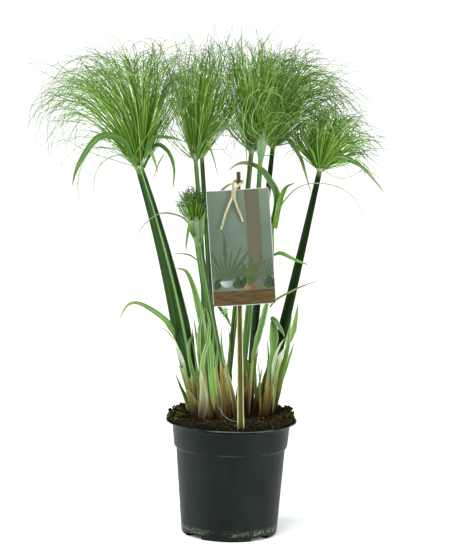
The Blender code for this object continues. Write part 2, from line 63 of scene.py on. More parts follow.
FLOOR_REACH = 60.0
CAMERA_PLACE = (-0.0097, -2.5, 0.609)
CAMERA_TILT = 82.405
CAMERA_ROLL = 1.15
CAMERA_LENS = 154.1


def add_node(tree, kind, inputs=None, **settings):
    """A shader node with its settings made and its named inputs set or linked."""
    node = tree.nodes.new(kind)
    for setting, value in settings.items():
        setattr(node, setting, value)
    for socket, value in (inputs or {}).items():
        if isinstance(value, bpy.types.NodeSocket):
            tree.links.new(value, node.inputs[socket])
        else:
            node.inputs[socket].default_value = value
    return node


def new_material(name, roughness, **sockets):
    """A material with one Principled shader, its even values set on the shader's own sockets."""
    made = bpy.data.materials.new(name)
    made.use_nodes = True
    shader = made.node_tree.nodes["Principled BSDF"]
    shader.inputs["Roughness"].default_value = roughness
    for socket, value in sockets.items():
        shader.inputs[socket.replace("_", " ").title().replace("Ior", "IOR")].default_value = value
    return made, made.node_tree, shader


def add_noise(tree, vector, scale, detail=3.0, roughness=0.55):
    """Soft clouds of values round 0.5, the finer the higher their scale."""
    inputs = {"Vector": vector, "Scale": scale, "Detail": detail, "Roughness": roughness}
    return add_node(tree, "ShaderNodeTexNoise", inputs).outputs["Fac"]


def blend_ramp(tree, share, stops):
    """Colours that go evenly from stop to stop as share goes from 0 to 1."""
    ramp = add_node(tree, "ShaderNodeValToRGB", {"Fac": share})
    elements = ramp.color_ramp.elements
    while len(elements) < len(stops):
        elements.new(0.5)
    for element, (place, colour) in zip(elements, stops):
        element.position = place
        element.color = (*colour, 1)
    return ramp.outputs["Color"]


def grey_ramp(tree, share, low, high, start=0.0, end=1.0):
    """A value that goes from low to high as share goes from start to end."""
    inputs = {"Value": share, "From Min": start, "From Max": end, "To Min": low, "To Max": high}
    return add_node(tree, "ShaderNodeMapRange", inputs).outputs["Result"]


def mix_colour(tree, share, first, second, way="MIX"):
    """The first colour where share is 0, and where it is 1 the second one, laid on in the given way."""
    inputs = {0: share, 6: first, 7: second}
    return add_node(tree, "ShaderNodeMix", inputs, data_type="RGBA", blend_type=way).outputs[2]


def do_math(tree, operation, first, second=0.0):
    return add_node(tree, "ShaderNodeMath", {0: first, 1: second}, operation=operation).outputs[0]


def axes_of(tree, vector):
    return add_node(tree, "ShaderNodeSeparateXYZ", {0: vector}).outputs


def object_place(tree):
    return add_node(tree, "ShaderNodeTexCoord").outputs["Object"]


def paint(tree, shader, colour):
    tree.links.new(colour, shader.inputs["Base Color"])


def speckled(name, roughness, scale, stops):
    """A material whose colours lie in soft specks, the finer the higher its scale."""
    made, tree, shader = new_material(name, roughness)
    paint(tree, shader, blend_ramp(tree, add_noise(tree, object_place(tree), scale), stops))
    return made


camera = bpy.data.objects.new("camera", bpy.data.cameras.new("camera"))
camera.matrix_world = (
    Matrix.Translation(CAMERA_PLACE)
    @ Matrix.Rotation(math.radians(CAMERA_TILT), 4, "X")
    @ Matrix.Rotation(math.radians(CAMERA_ROLL), 4, "Z")
)
camera.data.sensor_fit = "VERTICAL"
camera.data.sensor_height = 36
camera.data.lens = CAMERA_LENS
camera.data.clip_end = 200
bpy.context.scene.collection.objects.link(camera)
bpy.context.scene.camera = camera
bpy.context.scene.view_settings.view_transform = "Standard"

world = bpy.data.worlds.new("studio")
world.use_nodes = True
tree = world.node_tree
sky = axes_of(tree, add_node(tree, "ShaderNodeTexCoord").outputs["Generated"])
far_glow = grey_ramp(tree, sky[1], 0.11, 0.85, -0.5, 0.7)
glow = do_math(tree, "ADD", far_glow, grey_ramp(tree, sky[2], 0.0, 0.35, 0.2, 1.0))
seen = add_node(tree, "ShaderNodeLightPath").outputs["Is Camera Ray"]
tree.links.new(mix_colour(tree, seen, glow, (1.0, 1.0, 1.0, 1)), tree.nodes["Background"].inputs["Color"])
bpy.context.scene.world = world


def soft_light(name, place, target, width, height, power, colour=(1.0, 1.0, 1.0)):
    """A flat lamp at place that shines towards target."""
    lamp = bpy.data.lights.new(name, "AREA")
    lamp.color = colour
    lamp.shape = "RECTANGLE"
    lamp.size, lamp.size_y = width, height
    lamp.energy = power
    made = bpy.data.objects.new(name, lamp)
    aim = (Vector(target) - Vector(place)).to_track_quat("-Z", "Y")
    made.matrix_world = Matrix.Translation(place) @ aim.to_matrix().to_4x4()
    bpy.context.scene.collection.objects.link(made)


key_lamp = bpy.data.lights.new("key_light", "SUN")
key_lamp.energy = 2.6
key_lamp.angle = math.radians(38)
key_light = bpy.data.objects.new("key_light", key_lamp)
key_light.matrix_world = Vector((0.30, 0.62, -1.0)).to_track_quat("-Z", "Y").to_matrix().to_4x4()
bpy.context.scene.collection.objects.link(key_light)
soft_light("front_light", (0.5, -2.8, 1.0), (0, 0, 0.35), 0.8, 0.8, 2)
soft_light("right_strip", (1.35, -1.05, 0.55), (0, 0, 0.3), 0.30, 1.5, 34, (0.90, 1.0, 0.94))
soft_light("left_strip", (-1.45, -0.30, 0.55), (0, 0, 0.3), 0.40, 1.5, 26, (0.90, 1.0, 0.94))

floor_mesh = bpy.data.meshes.new("studio_floor")
floor_corners = [(x * FLOOR_REACH, y * FLOOR_REACH, 0) for x, y in ((-1, -1), (1, -1), (1, 1), (-1, 1))]
floor_mesh.from_pydata(floor_corners, [], [(0, 1, 2, 3)])
floor = bpy.data.objects.new("studio_floor", floor_mesh)
bpy.context.scene.collection.objects.link(floor)
floor_mesh.materials.append(
    speckled("studio_floor", 0.75, 2.0, [(0.0, (0.93, 0.935, 0.935)), (1.0, (0.95, 0.955, 0.955))]))

# ---------------------------------------------------------------- pot
# A thin black nursery pot, vacuum-formed in one piece: flared lip, straight collar over a ledge, and a
# tapering wall on four feet. Its plastic is scuffed up and down, worn pale on its edges and stained
# with lime near the foot.

# Half section, radius and height: from under the base outwards, up the outside, and down the inside.
POT_SECTION = [
    (0.5, 3.2), (8.4, 3.2), (8.9, 0.3), (9.3, 0.3), (9.9, 3.8), (39.9, 3.9), (40.6, 3.4), (41.0, 0.4),
    (41.5, 0.0), (48.2, 0.0), (49.6, 0.3), (50.6, 1.1), (51.1, 2.4), (51.7, 7.0), (53.3, 28.0),
    (55.0, 49.0), (56.7, 71.0), (58.2, 90.6), (58.4, 92.4), (58.8, 93.5), (59.6, 94.2), (60.3, 94.7),
    (60.7, 95.6), (60.9, 97.2), (61.8, 106.0), (62.7, 115.2), (63.1, 117.2), (64.0, 118.9), (65.6, 120.3),
    (67.6, 121.1), (69.3, 121.5), (69.9, 121.9), (70.0, 122.5), (69.6, 122.9), (68.9, 122.9), (67.0, 122.5),
    (65.4, 121.7), (63.6, 120.2), (62.3, 118.4), (61.7, 116.4), (60.2, 99.0), (59.4, 96.2), (57.3, 94.4),
    (54.0, 52.0), (50.4, 8.0), (47.5, 5.4),
]
# The edges that wear pale, the lip's and the ledge's: height, half width, radius just inside, and how worn.
WORN_EDGES = [(122.6, 0.8, 68, 1.0), (94.5, 0.6, 59, 0.55)]
# In degrees: the middle of the first foot, how far it reaches to either side, and the slope at each end of a
# notch. In millimetres: how high the notches are, where the lip starts, and how high it is.
FOOT_TURN, FOOT_HALF_ANGLE, NOTCH_SLOPE = -94, 31, 0.8
NOTCH_HEIGHT, LIP_FOOT, LIP_RISE = 4.0, 117, 6


def mm(values):
    """Millimetres to metres, for a number, a point or an array of points."""
    return np.asarray(values, float) * 0.001


def skin(rings, capped=True):
    """Points and faces of the surface over closed rings of points, as an array of ring, place and XYZ."""
    count, around = rings.shape[:2]
    number = np.arange(count * around).reshape(count, around)
    after = np.roll(number, -1, axis=1)
    faces = np.stack([number[:-1], after[:-1], after[1:], number[1:]], axis=-1).reshape(-1, 4).tolist()
    if capped:
        faces += [number[0][::-1].tolist(), number[-1].tolist()]
    return rings.reshape(-1, 3), faces


def add_piece(name, points, faces, finish, replaces=(), marks=None, sharp=None, face_out=True):
    """One smooth mesh of the plant. marks are values or vectors at its points that its finish reads."""
    mesh = bpy.data.meshes.new(name)
    mesh.from_pydata(np.asarray(points).tolist(), [], faces)
    for mark, values in (marks or {}).items():
        values = np.asarray(values, np.float32)
        kind = "FLOAT" if values.ndim == 1 else "FLOAT_VECTOR"
        field = "value" if values.ndim == 1 else "vector"
        mesh.attributes.new(mark, kind, "POINT").data.foreach_set(field, values.ravel())
    if face_out:
        shape = bmesh.new()
        shape.from_mesh(mesh)
        bmesh.ops.recalc_face_normals(shape, faces=shape.faces)
        shape.to_mesh(mesh)
        shape.free()
    mesh.shade_smooth()
    if sharp is not None:
        mesh.set_sharp_from_angle(angle=math.radians(sharp))
    mesh.materials.append(finish)
    piece = bpy.data.objects.new(name, mesh)
    bpy.context.scene.collection.objects.link(piece)
    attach(piece, "root")
    if replaces:
        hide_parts(*replaces)


def new_group(name, inputs, outputs):
    """An empty shader group, with its named inputs and outputs made, and its two end nodes."""
    tree = bpy.data.node_groups.new(name, "ShaderNodeTree")
    for in_out, sockets in (("INPUT", inputs), ("OUTPUT", outputs)):
        for socket, (kind, value) in sockets.items():
            made = tree.interface.new_socket(name=socket, in_out=in_out, socket_type=kind)
            if value is not None:
                made.default_value = value
    return tree, tree.nodes.new("NodeGroupInput"), tree.nodes.new("NodeGroupOutput")


def use_group(tree, group, inputs):
    return add_node(tree, "ShaderNodeGroup", inputs, node_tree=group).outputs


def times(tree, first, second):
    return do_math(tree, "MULTIPLY", first, second)


def raise_surface(tree, shader, height, depth, strength=1.0):
    """Relief from a height, with its deepest fall in metres."""
    inputs = {"Height": height, "Distance": depth, "Strength": strength}
    tree.links.new(add_node(tree, "ShaderNodeBump", inputs).outputs["Normal"], shader.inputs["Normal"])


def read_mark(tree, mark, output="Fac"):
    """What a piece carries at its points under that name: a value, or a vector if output says so."""
    return add_node(tree, "ShaderNodeAttribute", attribute_name=mark).outputs[output]


def vector_math(tree, operation, first, second, output=0):
    return add_node(tree, "ShaderNodeVectorMath", {0: first, 1: second}, operation=operation).outputs[output]


# Long fine streaks along the second axis of a vector given in metres, for scuffs, fibres and ribs.
streaks, streaks_in, streaks_out = new_group(
    "streaks",
    {
        "Grain": ("NodeSocketVector", None),
        "Width": ("NodeSocketFloat", 0.001),
        "Stretch": ("NodeSocketFloat", 12.0),
        "Contrast": ("NodeSocketFloat", 1.0),
    },
    {"Mask": ("NodeSocketFloat", None)},
)
across = do_math(streaks, "DIVIDE", 1.0, streaks_in.outputs["Width"])
along = do_math(streaks, "DIVIDE", across, streaks_in.outputs["Stretch"])
streak_sizes = add_node(streaks, "ShaderNodeCombineXYZ", {0: across, 1: along, 2: across}).outputs[0]
streak_grain = vector_math(streaks, "MULTIPLY", streaks_in.outputs["Grain"], streak_sizes)
streak_cells = add_noise(streaks, streak_grain, 1.0, 2.5)
streak_swing = times(streaks, do_math(streaks, "SUBTRACT", streak_cells, 0.5), 2.4)
streak_mask = times(streaks, streak_swing, streaks_in.outputs["Contrast"])
streak_mask = do_math(streaks, "ADD", streak_mask, 0.5)
streak_mask = add_node(streaks, "ShaderNodeClamp", {0: streak_mask}).outputs[0]
streaks.links.new(streak_mask, streaks_out.inputs["Mask"])


def streaked(tree, grain, width, stretch, contrast):
    """The mask of streaks as wide as width, in metres, and longer than that by stretch."""
    inputs = {"Grain": grain, "Width": width, "Stretch": stretch, "Contrast": contrast}
    return use_group(tree, streaks, inputs)["Mask"]


pot_turns = []
for quarter in range(4):
    middle = FOOT_TURN + 90 * quarter
    foot = middle + np.linspace(-FOOT_HALF_ANGLE, FOOT_HALF_ANGLE, 26)
    notch_end = middle + (90 - NOTCH_SLOPE) - FOOT_HALF_ANGLE
    notch = np.linspace(middle + FOOT_HALF_ANGLE + NOTCH_SLOPE, notch_end, 14)
    pot_turns += [(math.radians(a), True) for a in foot]
    pot_turns += [(math.radians(a), False) for a in notch]
pot_columns = []
for turn, on_foot in pot_turns:
    column = []
    for radius, height in POT_SECTION:
        if not on_foot and radius > 40.5 and height < NOTCH_HEIGHT:
            height = NOTCH_HEIGHT + 0.2 * height / NOTCH_HEIGHT
        # The lip is soft and a little out of true, the more so the higher it gets.
        lip = max(0.0, (height - LIP_FOOT) / LIP_RISE) if radius > 61 else 0.0
        height += 0.35 * lip * math.sin(2 * turn + 0.6) + 0.15 * lip * math.sin(7 * turn)
        radius += 0.25 * lip * math.sin(3 * turn + 2.0)
        column.append((radius * math.cos(turn), radius * math.sin(turn), height))
    pot_columns.append(column)
pot_rings = mm(pot_columns).transpose(1, 0, 2)
pot_points, pot_faces = skin(pot_rings)
wall_radius, wall_height = np.repeat(POT_SECTION, len(pot_turns), axis=0).T
edge_wear = np.max([np.exp(-(((wall_height - level) / width) ** 2)) * (wall_radius > inside) * wear
                    for level, width, inside, wear in WORN_EDGES], axis=0)

plastic, tree, shader = new_material("pot_plastic", 0.46, specular_ior_level=0.16,
                                     specular_tint=(0.72, 1.0, 0.88, 1))
place = object_place(tree)
turned = axes_of(tree, place)
height = turned[2]
girth = times(tree, do_math(tree, "ARCTAN2", turned[1], turned[0]), 0.06)
wall = add_node(tree, "ShaderNodeCombineXYZ", {0: girth, 1: height}).outputs[0]
scuffs = streaked(tree, wall, 0.0040, 12.0, 0.8)
dust = grey_ramp(tree, add_noise(tree, place, 26.0, 4.0), 0.0, 1.0, 0.42, 0.75)
specks = grey_ramp(tree, add_noise(tree, place, 380.0, 3.0, 0.7), 0.08, 1.0, 0.50, 0.64)
low_band = times(tree, grey_ramp(tree, height, 1.0, 0.0, 0.0088, 0.0135),
                 grey_ramp(tree, height, 0.0, 1.0, 0.0050, 0.0078))
flattened = vector_math(tree, "MULTIPLY", place, (1, 1, 2.5))
patches = grey_ramp(tree, add_noise(tree, flattened, 34.0, 3.0), 0.04, 1.0, 0.44, 0.58)
stain = times(tree, times(tree, low_band, specks), patches)
worn = read_mark(tree, "wear")
worn = times(tree, worn, grey_ramp(tree, add_noise(tree, place, 34.0, 5.0), 0.0, 1.0, 0.46, 0.62))
colour = mix_colour(tree, scuffs, (0.0009, 0.0010, 0.0010, 1), (0.0030, 0.0034, 0.0033, 1))
colour = mix_colour(tree, times(tree, dust, 0.40), colour, (0.009, 0.013, 0.011, 1))
colour = mix_colour(tree, times(tree, worn, 0.60), colour, (0.15, 0.15, 0.11, 1))
colour = mix_colour(tree, times(tree, stain, 0.70), colour, (0.24, 0.28, 0.20, 1))
paint(tree, shader, colour)
tree.links.new(grey_ramp(tree, scuffs, 0.38, 0.56), shader.inputs["Roughness"])
raise_surface(tree, shader, do_math(tree, "ADD", scuffs, add_noise(tree, place, 1600.0)), 0.00008, 0.3)
add_piece("nursery_pot", pot_points, pot_faces, plastic, ["pot"],
          {"wear": edge_wear}, sharp=50)

# ---------------------------------------------------------------- soil
# Dark moist peat, filled level with the lip in front and heaped at the sides and back: a crumbly
# surface with loose crumbs, ochre fibres, some pale grit and one thin white root that arches out of it.

# The peat's level under the clump and in front of it, how much it is heaped, and the pot's radius there.
SOIL_TOP, SOIL_FRONT, SOIL_HEAP, SOIL_RADIUS = 0.1262, 0.1234, 0.0012, 0.070
SOIL_SIDES = 150
# Where the peat lies against the pot's inside, radius and height, from below the collar to the lip.
SOIL_SIDE = [(58.9, 97.0), (60.9, 117.0), (62.6, 120.2), (65.4, 122.0)]


def behind(y, line, width):
    """0 in front of a line across the pot and 1 behind it, going over within width to either side.

    line is how far it lies in front of the pot's middle.
    """
    return 0.5 + 0.5 * max(-1, min(1, (y + line) / width))


def outside(radius, start, width):
    """0 within the start radius, going up to 1 over width."""
    return max(0, min(1, (radius - start) / width))


def soil_height(x, y):
    """Height of the heaped peat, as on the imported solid."""
    back = behind(y, 0.050, 0.014)
    edge = outside(math.hypot(x, y) / SOIL_RADIUS, 0.76, 0.08)
    return SOIL_FRONT + (SOIL_TOP - SOIL_FRONT) * back + edge * back * SOIL_HEAP


def crumbly_height(x, y):
    """The peat's surface with its clods: even near the stems, rougher towards the heaped edge."""
    radius = math.hypot(x, y)
    back = behind(y, 0.045, 0.020)
    rough = 0.0009 + 0.0022 * back * outside(radius, 0.040, 0.020)
    clods = noise.fractal(Vector((x * 120, y * 120, 0.3)), 0.7, 2.1, 4)
    slope = 0.0030 * max(0, (radius - 0.0640) / 0.004)
    return soil_height(x, y) + rough * clods + 0.0012 * back * max(0, (radius - 0.045) / 0.02) - slope


chance = np.random.default_rng(41)
soil_levels = []
soil_turns = np.linspace(0, math.tau, SOIL_SIDES, endpoint=False)
for radius in [*np.linspace(0.0682, 0.0640, 4), *np.linspace(0.0625, 0.0020, 40)]:
    flat = [(radius * math.cos(a), radius * math.sin(a)) for a in soil_turns]
    soil_levels.append([(x, y, crumbly_height(x, y)) for x, y in flat])
soil_sides = [[(mm(r) * math.cos(a), mm(r) * math.sin(a), mm(z)) for a in soil_turns] for r, z in SOIL_SIDE]
soil_points, soil_faces = skin(np.array([*soil_sides, *soil_levels]))


def lumps(places, sizes, chance, fineness):
    """Small irregular clods at places, as one mesh."""
    ball = bmesh.new()
    bmesh.ops.create_icosphere(ball, subdivisions=fineness, radius=1)
    corners = np.array([v.co for v in ball.verts])
    sides = np.array([[v.index for v in f.verts] for f in ball.faces])
    ball.free()
    points = []
    for centre, size in zip(places, sizes):
        turn = Matrix.Rotation(chance.uniform(0, 6.28), 3, Vector(chance.normal(size=3)))
        stretch = chance.uniform(0.55, 1.25, 3)
        bumps = chance.uniform(0.72, 1.2, (len(corners), 1))
        points.append(centre + size * (corners * bumps * stretch) @ np.array(turn).T)
    faces = (np.arange(len(places))[:, None, None] * len(corners) + sides).reshape(-1, 3)
    return np.concatenate(points), faces.tolist()


def join(parts):
    """Several (points, faces, marks) as one."""
    points, faces, marks, start = [], [], {}, 0
    for part_points, part_faces, part_marks in parts:
        points.append(part_points)
        faces += [[corner + start for corner in face] for face in part_faces]
        start += len(part_points)
        for mark, values in part_marks.items():
            marks.setdefault(mark, []).append(values)
    return np.concatenate(points), faces, {mark: np.concatenate(values) for mark, values in marks.items()}


def scatter(count, inner, outer, chance):
    """Places evenly spread over a ring of the soil, as X and Y."""
    radius = np.sqrt(chance.uniform(inner**2, outer**2, count))
    turn = chance.uniform(0, math.tau, count)
    return np.stack([radius * np.cos(turn), radius * np.sin(turn)], axis=1)


def on_soil(flat, lift):
    """X, Y and Z of places on the peat, each lifted a little off it."""
    return np.array([(x, y, crumbly_height(x, y) + up) for (x, y), up in zip(flat, lift)])


CRUMB_COUNT, CLOD_COUNT, HEAP_COUNT = 1500, 330, 700
CLOD_REACH = 0.0672
fine_sizes = mm(chance.uniform(0.35, 1.1, CRUMB_COUNT))
fine_places = on_soil(scatter(CRUMB_COUNT, 0, 0.0685, chance), fine_sizes * 0.3)
fine_crumbs = lumps(fine_places, fine_sizes, chance, 1)
clod_sizes = mm(chance.uniform(1.0, 2.6, CLOD_COUNT) * chance.uniform(0.7, 1.0, CLOD_COUNT))
clod_places = on_soil(scatter(CLOD_COUNT, 0.040, CLOD_REACH, chance), clod_sizes * 0.1)
clods = lumps(clod_places, clod_sizes, chance, 2)
# The heap lies at the sides and back, and thins out towards the middle.
heap_flat = scatter(HEAP_COUNT, 0.050, CLOD_REACH, chance)
far_out = np.abs(heap_flat[:, 0]) > chance.uniform(0.0, 0.045, len(heap_flat))
heap_flat = heap_flat[(heap_flat[:, 1] > -0.026) & far_out]
heap_sizes = mm(chance.uniform(0.8, 3.2, len(heap_flat)))
heap_lift = mm(np.minimum(chance.uniform(0, 5.0, len(heap_flat)), (np.abs(heap_flat[:, 0]) - 0.020) * 120))
heap = lumps(on_soil(heap_flat, np.maximum(heap_lift, 0)), heap_sizes, chance, 2)
soil_parts = [(soil_points, soil_faces, {"tone": np.full(len(soil_points), 0.5)})]
for (points, faces), corners in ((fine_crumbs, 12), (clods, 42), (heap, 42)):
    soil_parts.append((points, faces, {"tone": np.repeat(chance.random(len(points) // corners), corners)}))
points, faces, marks = join(soil_parts)

peat, tree, shader = new_material("peat", 0.93, specular_ior_level=0.1)
place = object_place(tree)
tone = read_mark(tree, "tone")
grain = add_noise(tree, place, 900.0, 4.0, 0.7)
share = do_math(tree, "ADD", times(tree, grain, 0.6), times(tree, tone, 0.4))
colour = blend_ramp(tree, share, [
    (0.25, (0.0018, 0.0015, 0.0005)), (0.52, (0.0105, 0.0082, 0.0016)),
    (0.66, (0.048, 0.037, 0.0055)), (0.85, (0.110, 0.078, 0.014)),
])
# Painted shade: the peat's colour goes almost black towards its front edge.
painted_front_shade = grey_ramp(tree, axes_of(tree, place)[1], 0.97, 0.0, -0.060, -0.026)
colour = mix_colour(tree, painted_front_shade, colour, (0.0022, 0.0020, 0.0008, 1))
paint(tree, shader, colour)
raise_surface(tree, shader, grain, 0.0006)
add_piece("peat", points, faces, peat, ["soil"], marks, sharp=45)


def unit(vectors):
    """The same vectors at a length of 1."""
    return vectors / np.maximum(np.linalg.norm(vectors, axis=-1, keepdims=True), 1e-12)


TUBE_SIDES = 3


def tubes(strands, radii, sides=TUBE_SIDES):
    """Thin round tubes along strands, an array of strand, step and XYZ, all in one mesh."""
    strands, radii = np.asarray(strands, float), np.asarray(radii, float)
    count, steps = strands.shape[:2]
    travel = unit(np.gradient(strands, axis=1))
    side = np.cross(travel[:, 0], (0.31, -0.84, 0.44))
    rings = np.empty((count, steps, sides, 3))
    turns = np.arange(sides) * math.tau / sides
    for k in range(steps):
        side = unit(side - travel[:, k] * np.sum(side * travel[:, k], axis=1, keepdims=True))
        other = np.cross(travel[:, k], side)
        ring = np.cos(turns)[:, None] * side[:, None] + np.sin(turns)[:, None] * other[:, None]
        rings[:, k] = strands[:, k, None] + ring * radii[:, k, None, None]
    number = np.arange(count * steps * sides).reshape(count, steps, sides)
    after = np.roll(number, -1, axis=2)
    quads = np.stack([number[:, :-1], after[:, :-1], after[:, 1:], number[:, 1:]], axis=-1).reshape(-1, 4)
    ends = [*number[:, 0, ::-1].tolist(), *number[:, -1].tolist()]
    return rings.reshape(-1, 3), quads.tolist() + ends


def through(points, steps):
    """A smooth run of steps + 1 points through the given ones (Catmull-Rom)."""
    points = np.asarray(points, float)
    ends = np.concatenate([[2 * points[0] - points[1]], points, [2 * points[-1] - points[-2]]])
    places = np.minimum(np.linspace(0, len(points) - 1, steps + 1), len(points) - 1 - 1e-6)
    i = places.astype(int)
    t = (places - i)[:, None]
    a, b, c, d = ends[i], ends[i + 1], ends[i + 2], ends[i + 3]
    return 0.5 * (2 * b + (c - a) * t + (2 * a - 5 * b + 4 * c - d) * t**2 + (3 * b - a - 3 * c + d) * t**3)


def spread_values(values, steps):
    """steps + 1 values that go evenly through the given ones."""
    return np.interp(np.linspace(0, len(values) - 1, steps + 1), np.arange(len(values)), values)


FIBRE_COUNT, FIBRE_STEPS = 300, 7
fibre_flat = scatter(FIBRE_COUNT, 0.010, 0.0665, chance)
fibre_ways = chance.uniform(0, math.tau, FIBRE_COUNT)
fibre_lengths = mm(chance.uniform(2.5, 9, FIBRE_COUNT))
fibres = []
for (x, y), way, length in zip(fibre_flat, fibre_ways, fibre_lengths):
    bend = chance.uniform(-1.2, 1.2)
    lift = chance.uniform(0.2, 1.6)
    run = []
    for t in np.linspace(-0.5, 0.5, FIBRE_STEPS):
        turn = way + bend * t
        px, py = x + length * t * math.cos(turn), y + length * t * math.sin(turn)
        run.append((px, py, crumbly_height(px, py) + mm(0.5 + lift * (0.25 - t * t) * 2)))
    fibres.append(run)
fibre_radii = mm(chance.uniform(0.10, 0.26, (FIBRE_COUNT, 1))) * np.linspace(1, 0.5, FIBRE_STEPS)
fibre_points, fibre_faces = tubes(fibres, fibre_radii)
fibre_tone = np.repeat(chance.random(FIBRE_COUNT), FIBRE_STEPS * TUBE_SIDES)
straw, tree, shader = new_material("peat_fibre", 0.85)
tone = read_mark(tree, "tone")
colour = blend_ramp(tree, tone, [
    (0.0, (0.014, 0.009, 0.003)), (0.6, (0.06, 0.034, 0.010)), (1.0, (0.20, 0.12, 0.035)),
])
colour = mix_colour(tree, add_noise(tree, object_place(tree), 700.0), colour, (0.03, 0.018, 0.01, 1))
paint(tree, shader, colour)
add_piece("peat_fibres", fibre_points, fibre_faces, straw,
          marks={"tone": fibre_tone}, face_out=False)

# The pale grit that shows in front. As much again and more lies anywhere.
FRONT_GRIT = mm([
    (-31, -34), (-28, -37), (-24, -35), (-33, -30), (-26, -31), (-22, -38), (-29, -41), (30, -30), (38, -24),
    (26, -36), (20, -30), (42, -30),
])
LOOSE_GRIT_COUNT = 22
grit_sizes = mm(chance.uniform(0.4, 0.9, LOOSE_GRIT_COUNT + len(FRONT_GRIT)))
grit_places = np.concatenate([scatter(LOOSE_GRIT_COUNT, 0.005, 0.060, chance), FRONT_GRIT])
grit_points, grit_faces = lumps(on_soil(grit_places, grit_sizes * 0.8), grit_sizes, chance, 2)
grit = speckled("pale_grit", 0.8, 300.0, [(0.3, (0.09, 0.055, 0.035)), (0.7, (0.24, 0.19, 0.14))])
add_piece("soil_grit", grit_points, grit_faces, grit)

ROOT_POINTS = [
    (-17, -19, 146), (-13, -22, 139), (-8, -26, 132), (-2, -31, 128.4), (6, -35, 126.8), (13, -37, 125.2),
]
ROOT_STEPS = 30
root_run = through(mm(ROOT_POINTS), ROOT_STEPS)[None]
root_points, root_faces = tubes(root_run, mm(np.linspace(0.30, 0.16, ROOT_STEPS + 1))[None], 8)
root_finish = speckled("white_root", 0.6, 260.0, [(0.3, (0.20, 0.21, 0.13)), (0.7, (0.40, 0.42, 0.32))])
add_piece("white_root", root_points, root_faces, root_finish)

# ---------------------------------------------------------------- flower stems
# Eight smooth, rounded three-sided stems with fine ribs, filled with pith: thickest a third of the way
# up, dark and waxy on the old ones, pale on the young ones. Each grows out of the peat. Down most of them
# runs a pale stripe, which is a painted highlight.

# For each: foot on the soil, crown, how far the middle bows out, radius at foot, belly and crown, and
# how pale it is, below 0 for the darkest.
STEMS = {
    "a": ((-36.5, -12), (-102, -12, 393), (6.5, 0), (3.6, 9.9, 4.3), 0.08),
    "b1": ((-27, -4), (-43, -5, 402), (3, 0), (2.9, 3.1, 2.3), 0.80),
    "b2": ((-14, 22), (-37, 35, 402), (0, 0), (2.9, 3.1, 2.3), 0.22),
    "c1": ((-6, 44), (16, 0, 411), (0, 0), (2.9, 3.2, 2.6), 0.66),
    "c2": ((7, 2), (25, -28, 403), (2.2, 0), (2.8, 3.8, 2.4), 0.90),
    "c3": ((18, 22), (39, 35, 414), (-1, 0), (3.3, 4.1, 2.4), -0.1),
    "d": ((33.5, 5), (87.8, -20, 395), (1, 0), (3.8, 5.5, 2.8), -0.4),
    "e": ((-2, 13), (-38, -35, 318), (-1, -12), (5.2, 5.4, 4.0), 0.52),
}
# The share of its height at which a stem is thickest, how far its three corners stand out, as a share of its
# radius, and where the first of them is.
BELLY = 0.38
CORNER = 0.12
CORNER_TURN = math.radians(-62)
# Where the painted highlight runs down each stem as a pale stripe, in degrees round it, and how pale it is.
HIGHLIGHT_STRIPES = {
    "a": (280, 1.0), "b1": (262, 0.8), "b2": (250, 0.15), "c1": (282, 0.6),
    "c2": (270, 0.5), "c3": (210, 0.1), "d": (215, 0.1), "e": (284, 0.8),
}
# The painted highlight's half width in radians, and how much of a stem is buried, as a share of its length.
HIGHLIGHT_WIDTH, STEM_BURIED = 0.12, 0.012
STEM_SIDES, STEM_STEPS = 72, 56


def stem_axis(name, t):
    """The stem's centres at t, from 0 at its foot to 1 at its crown."""
    foot, crown, bow = STEMS[name][:3]
    t = np.asarray(t, float)[..., None]
    foot = np.array([*mm(foot), SOIL_TOP + 0.0003])
    return foot + (mm(crown) - foot) * t + np.array([*mm(bow), 0]) * 4 * t * (1 - t)


def stem_radius(name, t):
    """The stem's radius at t, before its corners are drawn out."""
    foot, belly, crown = mm(STEMS[name][3])
    low = foot + (belly - foot) * np.sin(0.5 * math.pi * np.clip(t, 0, BELLY) / BELLY)
    high = belly + (crown - belly) * (t - BELLY) / (1 - BELLY)
    return np.where(np.asarray(t) < BELLY, low, high)


def stem_point(name, t, turn, extra=0.0):
    """Points of the stem's surface, or as far outside it as extra says."""
    t, turn, extra = np.broadcast_arrays(np.asarray(t, float), turn, extra)
    travel = unit(stem_axis(name, t + 0.01) - stem_axis(name, t - 0.01))
    across = unit(np.cross(travel, (0, -1, 0)))
    deep = np.cross(travel, across)
    radius = stem_radius(name, t) * (1 + CORNER * np.cos(3 * (turn - CORNER_TURN))) + extra
    ring = np.cos(turn)[..., None] * across + np.sin(turn)[..., None] * deep
    return stem_axis(name, t) + radius[..., None] * ring


def stem_length(name):
    """How far the stem's crown stands above the peat."""
    return mm(STEMS[name][1][2]) - SOIL_TOP


def tint(tree, colour, other, share, *levels):
    """A colour that goes over to another one as share goes through levels, which are grey_ramp's."""
    return mix_colour(tree, grey_ramp(tree, share, *levels), colour, other)


